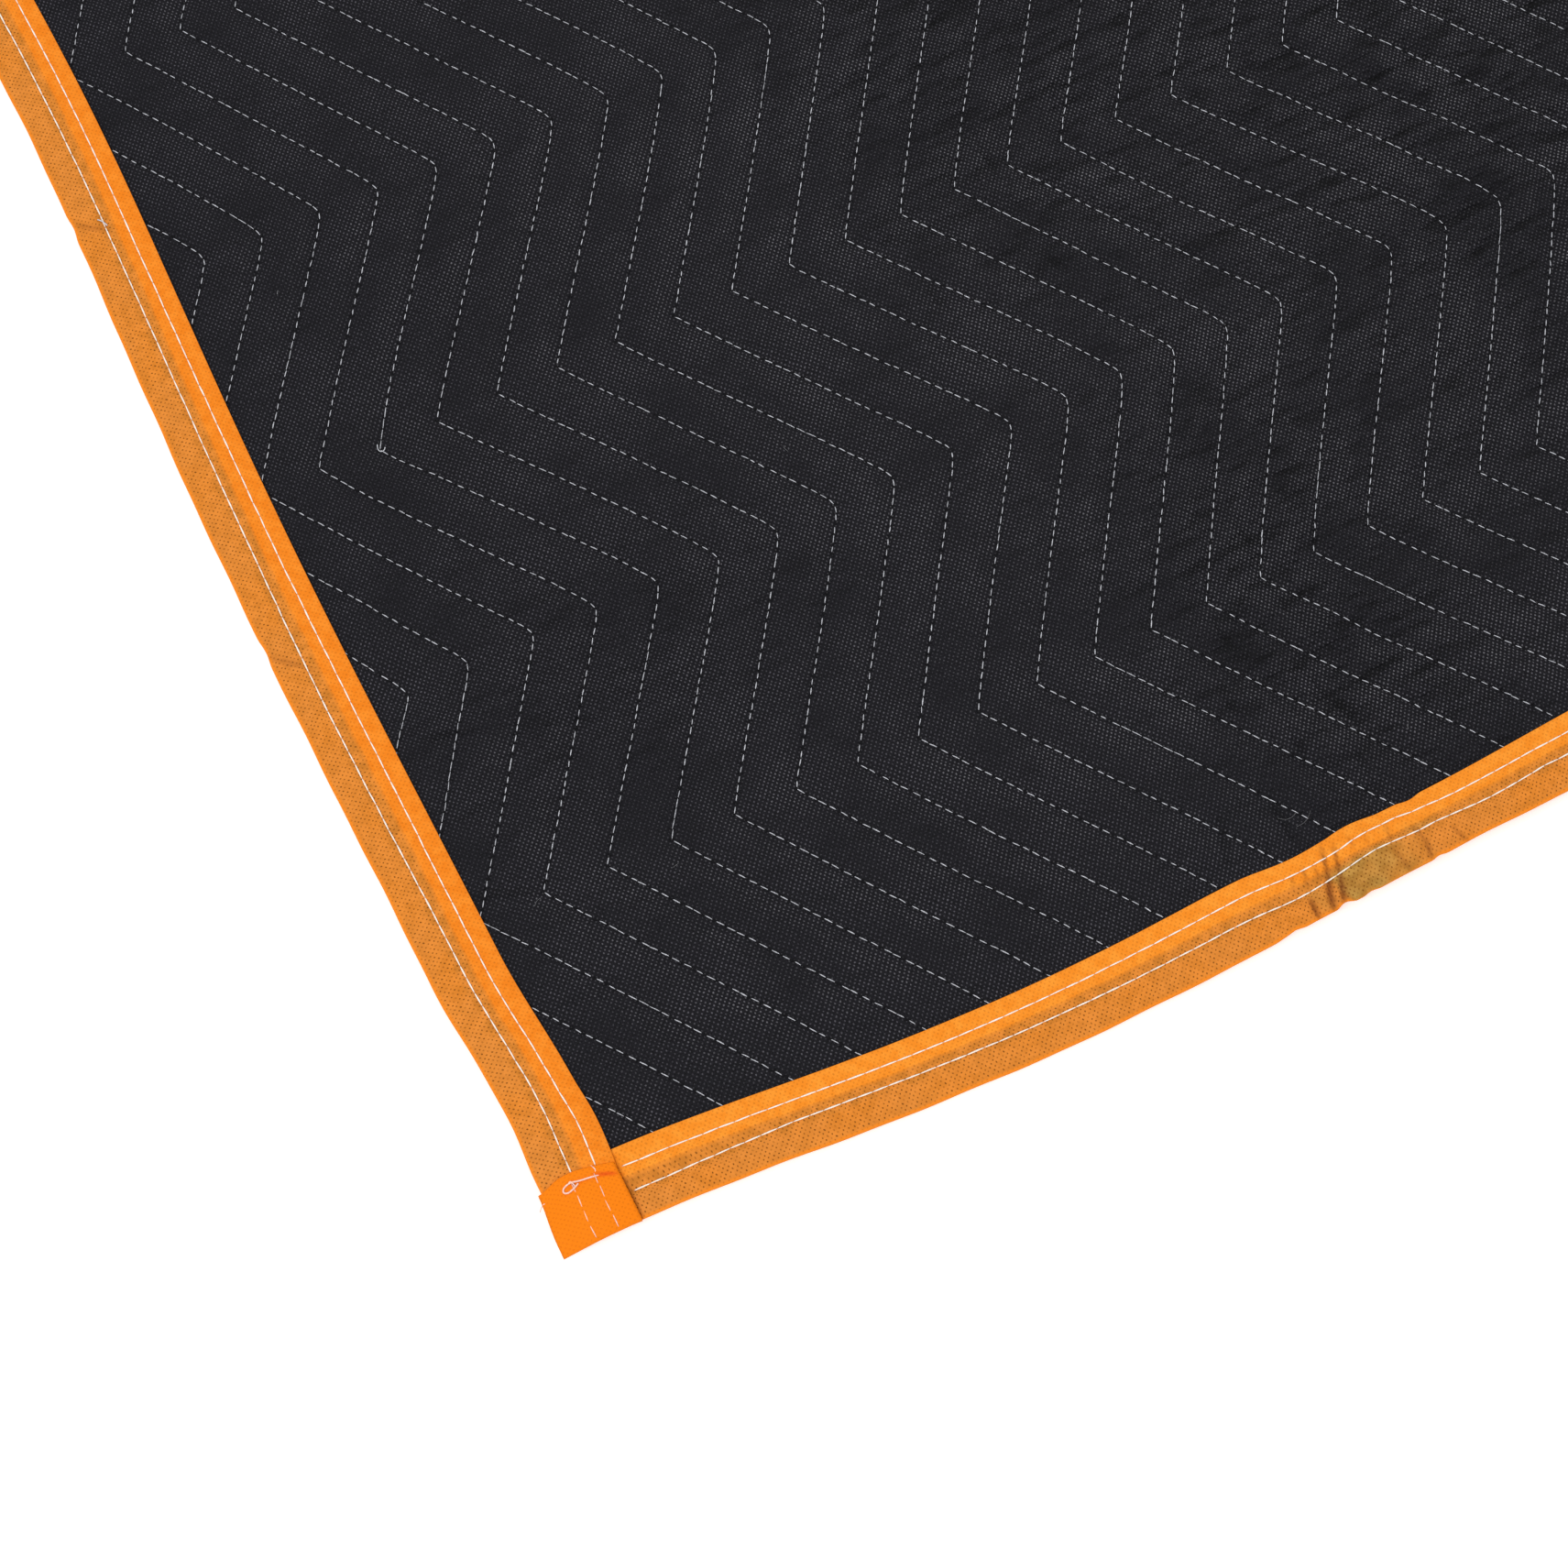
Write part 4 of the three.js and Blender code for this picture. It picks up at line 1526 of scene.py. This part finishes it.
def black_cloth(groups):
    """Black cloth with small welds, lighter as painted sheen, drawn in at the rows and creased, with
    painted shade in its needle holes, creases and ripples.
    """
    material, tree, shader = new_material("black_cloth")
    cloth = uv(tree, "cloth")
    rows_map = uv(tree, "rows")
    rows = axes_of(tree, rows_map)
    dots = use_group(tree, groups["dots"], Place=cloth, Size=0.62, **WELDS)
    fibres = use_group(tree, groups["fibres"], Place=cloth)
    past_row = calculate(tree, "FRACT", calculate(tree, "ADD", rows[0], 0.5))
    nearest = calculate(tree, "SUBTRACT", past_row, 0.5)
    off_seam = calculate(tree, "MULTIPLY", nearest, ROW_PITCH * LEG / math.hypot(LEG, SWING))
    given = {"Off Seam": off_seam, "Stitches": rows[1], "Width": 0.95}
    seam = use_group(tree, groups["seam"], **given)
    # The welds' lighter grey is painted sheen; the same mask sets their coat
    light = welds_with_painted_sheen(tree, dots, seam, cloth)
    grain = between(tree, fibres["Grain"], 0.3, 0.7)
    colour = blend(tree, light, blend(tree, grain, *BLACK_FIBRES), WELD_SHEEN_GREY)
    slack = attribute(tree, "slack")
    ripples = noise(tree, stretch(tree, rows_map, (1.0, 0.62, 1.0)), 1.0, 3.0, 0.6)
    ripples = calculate(tree, "MULTIPLY", calculate(tree, "SUBTRACT", ripples, 0.5), slack)
    creases = crease_heights(tree, cloth)
    crease = calculate(tree, "MULTIPLY_ADD", creases, 0.5, calculate(tree, "MULTIPLY", ripples, 3.3))
    # Painted shade in the troughs of the creases and ripples, and in the needle holes between the
    # stitches
    shaded = calculate(tree, "MULTIPLY", crease, -0.7, clamp=True)
    dark = calculate(tree, "MAXIMUM", calculate(tree, "MULTIPLY", seam["Holes"], 0.6), shaded)
    colour = blend(tree, dark, colour, PAINTED_SHADE_BLACK)
    tree.links.new(colour, shader.inputs["Base Color"])
    roughness = calculate(tree, "MULTIPLY_ADD", dots["Dots"], -0.28, 0.72)
    tree.links.new(roughness, shader.inputs["Roughness"])
    shader.inputs["Specular IOR Level"].default_value = 0.1
    lit = calculate(tree, "MULTIPLY_ADD", crease, 0.45, 0.74, clamp=True)
    tree.links.new(calculate(tree, "MULTIPLY", light, lit), shader.inputs["Coat Weight"])
    shader.inputs["Coat Roughness"].default_value = 0.42
    fine = [(dots["Dots"], -0.16), (fibres["Grain"], 0.1)]
    sewn = [(seam["Groove"], -0.35), (seam["Holes"], -0.4), (seam["Puckers"], 0.07)]
    wrinkled = [(fibres["Clouds"], 0.55), (ripples, 3.8), (creases, 1.0)]
    bump(tree, shader, summed(tree, *fine, *sewn, *wrinkled), MM)
    return material


def shown_welds(tree, dots, single, turned_back, rim):
    """How much of each weld of the tape shows: more where it is single, and none at the folded edge."""
    shown = calculate(tree, "MULTIPLY_ADD", single, 0.7, 0.24)
    on_tab = calculate(tree, "MULTIPLY_ADD", turned_back, -0.65, 1.0)
    inside_rim = calculate(tree, "SUBTRACT", 1.0, rim)
    single_dot = between(tree, dots["Single"], 0.3, 0.62)
    for share in (on_tab, inside_rim, calculate(tree, "MULTIPLY_ADD", single_dot, 0.75, 0.3)):
        shown = calculate(tree, "MULTIPLY", shown, share)
    return calculate(tree, "MULTIPLY", dots["Dots"], shown, clamp=True)


def orange_tape(name, groups, doubled):
    """Orange cloth, bright where it is doubled at the hem, darker where it is single over the black
    cloth, and brightest on the tab, with painted shade in its creases and folds. Its map runs across
    the tape from the folded edge."""
    material, tree, shader = new_material(name)
    cloth = uv(tree, "cloth")
    place = axes_of(tree, cloth)
    crease = attribute(tree, "crease")
    through = attribute(tree, "through")
    dots = use_group(tree, groups["dots"], Place=cloth, Size=0.5, **WELDS)
    fibres = use_group(tree, groups["fibres"], Place=cloth)
    wobble = calculate(tree, "MULTIPLY_ADD", fibres["Clouds"], 0.0016, -0.0008)
    from_nose = calculate(tree, "ABSOLUTE", place[1])
    uneven = calculate(tree, "ADD", from_nose, wobble)
    hem = between(tree, uneven, *HEM_FROM)
    single = calculate(tree, "SUBTRACT", 1.0, hem)
    over_pad = calculate(tree, "MULTIPLY", single, between(tree, uneven, *PAD_FROM))
    rim = calculate(tree, "SUBTRACT", 1.0, between(tree, from_nose, *RIM_TO))
    mottle = between(tree, noise(tree, cloth, 210.0, 4.0, 0.62), 0.36, 0.66)
    broad = between(tree, noise(tree, cloth, 42.0, 2.0, 0.5), 0.3, 0.7)
    turned_back = between(tree, from_nose, *TAB_FROM)
    bright = blend(tree, turned_back, blend(tree, mottle, *doubled), TAB_ORANGE)
    pale = calculate(tree, "MULTIPLY", broad, 0.3)
    thin = blend(tree, pale, blend(tree, mottle, *THIN_ORANGE), PALE_ORANGE)
    colour = blend(tree, hem, thin, bright)
    colour = blend(tree, over_pad, colour, blend(tree, mottle, *DARK_ORANGE))
    colour = blend(tree, rim, colour, RIM_ORANGE)
    uneven_tint = calculate(tree, "MULTIPLY_ADD", broad, 0.5, 0.4)
    tinted = calculate(tree, "MULTIPLY", through, uneven_tint)
    colour = blend(tree, tinted, colour, blend(tree, mottle, *OLIVE))
    colour = blend(tree, shown_welds(tree, dots, single, turned_back, rim), colour, BROWN_WELDS)
    # Creases and folds darkened, partly the darker colour of the layered cloth and partly painted
    # shade: brown on the tape, red on the tab
    fold = blend(tree, turned_back, BROWN_FOLD_SHADE, RED_FOLD_SHADE)
    colour = blend(tree, calculate(tree, "MULTIPLY", crease, 0.9), colour, fold)
    tree.links.new(colour, shader.inputs["Base Color"])
    roughness = calculate(tree, "MULTIPLY_ADD", dots["Dots"], -0.12, 0.66)
    tree.links.new(roughness, shader.inputs["Roughness"])
    shader.inputs["Specular IOR Level"].default_value = 0.1
    fine = [(dots["Dots"], -0.12), (fibres["Grain"], 0.07), (fibres["Clouds"], 0.22)]
    bump(tree, shader, summed(tree, *fine), MM)
    return material


def thread(name, dark, light):
    material, tree, shader = new_material(name)
    place = tree.nodes.new("ShaderNodeTexCoord").outputs["Object"]
    strands = between(tree, noise(tree, place, 2600.0, 1.0), 0.3, 0.7)
    tree.links.new(blend(tree, strands, dark, light), shader.inputs["Base Color"])
    shader.inputs["Roughness"].default_value = 0.62
    bump(tree, shader, noise(tree, place, 3800.0, 1.0), 0.12 * MM)
    return material


def pale_floor():
    material, _, shader = new_material("pale_floor")
    shader.inputs["Base Color"].default_value = (0.92, 0.92, 0.92, 1)
    shader.inputs["Roughness"].default_value = 0.9
    shader.inputs["Emission Color"].default_value = (1, 1, 1, 1)
    shader.inputs["Emission Strength"].default_value = 0.3
    return material


# The whole

groups = {"dots": weld_dots_group(), "fibres": fibres_group(), "seam": seam_pull_group()}
black = black_cloth(groups)
side_tape = orange_tape("side_tape", groups, SIDE_ORANGE)
end_tape = orange_tape("end_tape", groups, END_ORANGE)
white = thread("white_thread", *WHITE)
grey = thread("quilting_thread", *GREY)
pink = thread("tack_thread", *PINK)
lint = thread("lint", *LINT_GREY)

look_from(CAMERA_PLACE, CAMERA_AIM, CAMERA_ROLL, CAMERA_LENS)
studio()
floor(pale_floor())

pad = quilted_cloth(black)
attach(pad, "root")
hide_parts("quilted_pad")

for edge in ("front", "back", "left", "right"):
    tape = sewn_tape(edge, side_tape if edge in SIDE_EDGES else end_tape)
    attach(tape, "root")
    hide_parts("binding_" + edge)

sewing = quilting(grey) + tape_seams(white) + tab_seams(pink)
loose = corner_tack(pink) + loose_threads(grey) + loose_fibres(lint)
for piece in sewing + loose:
    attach(piece, "root")
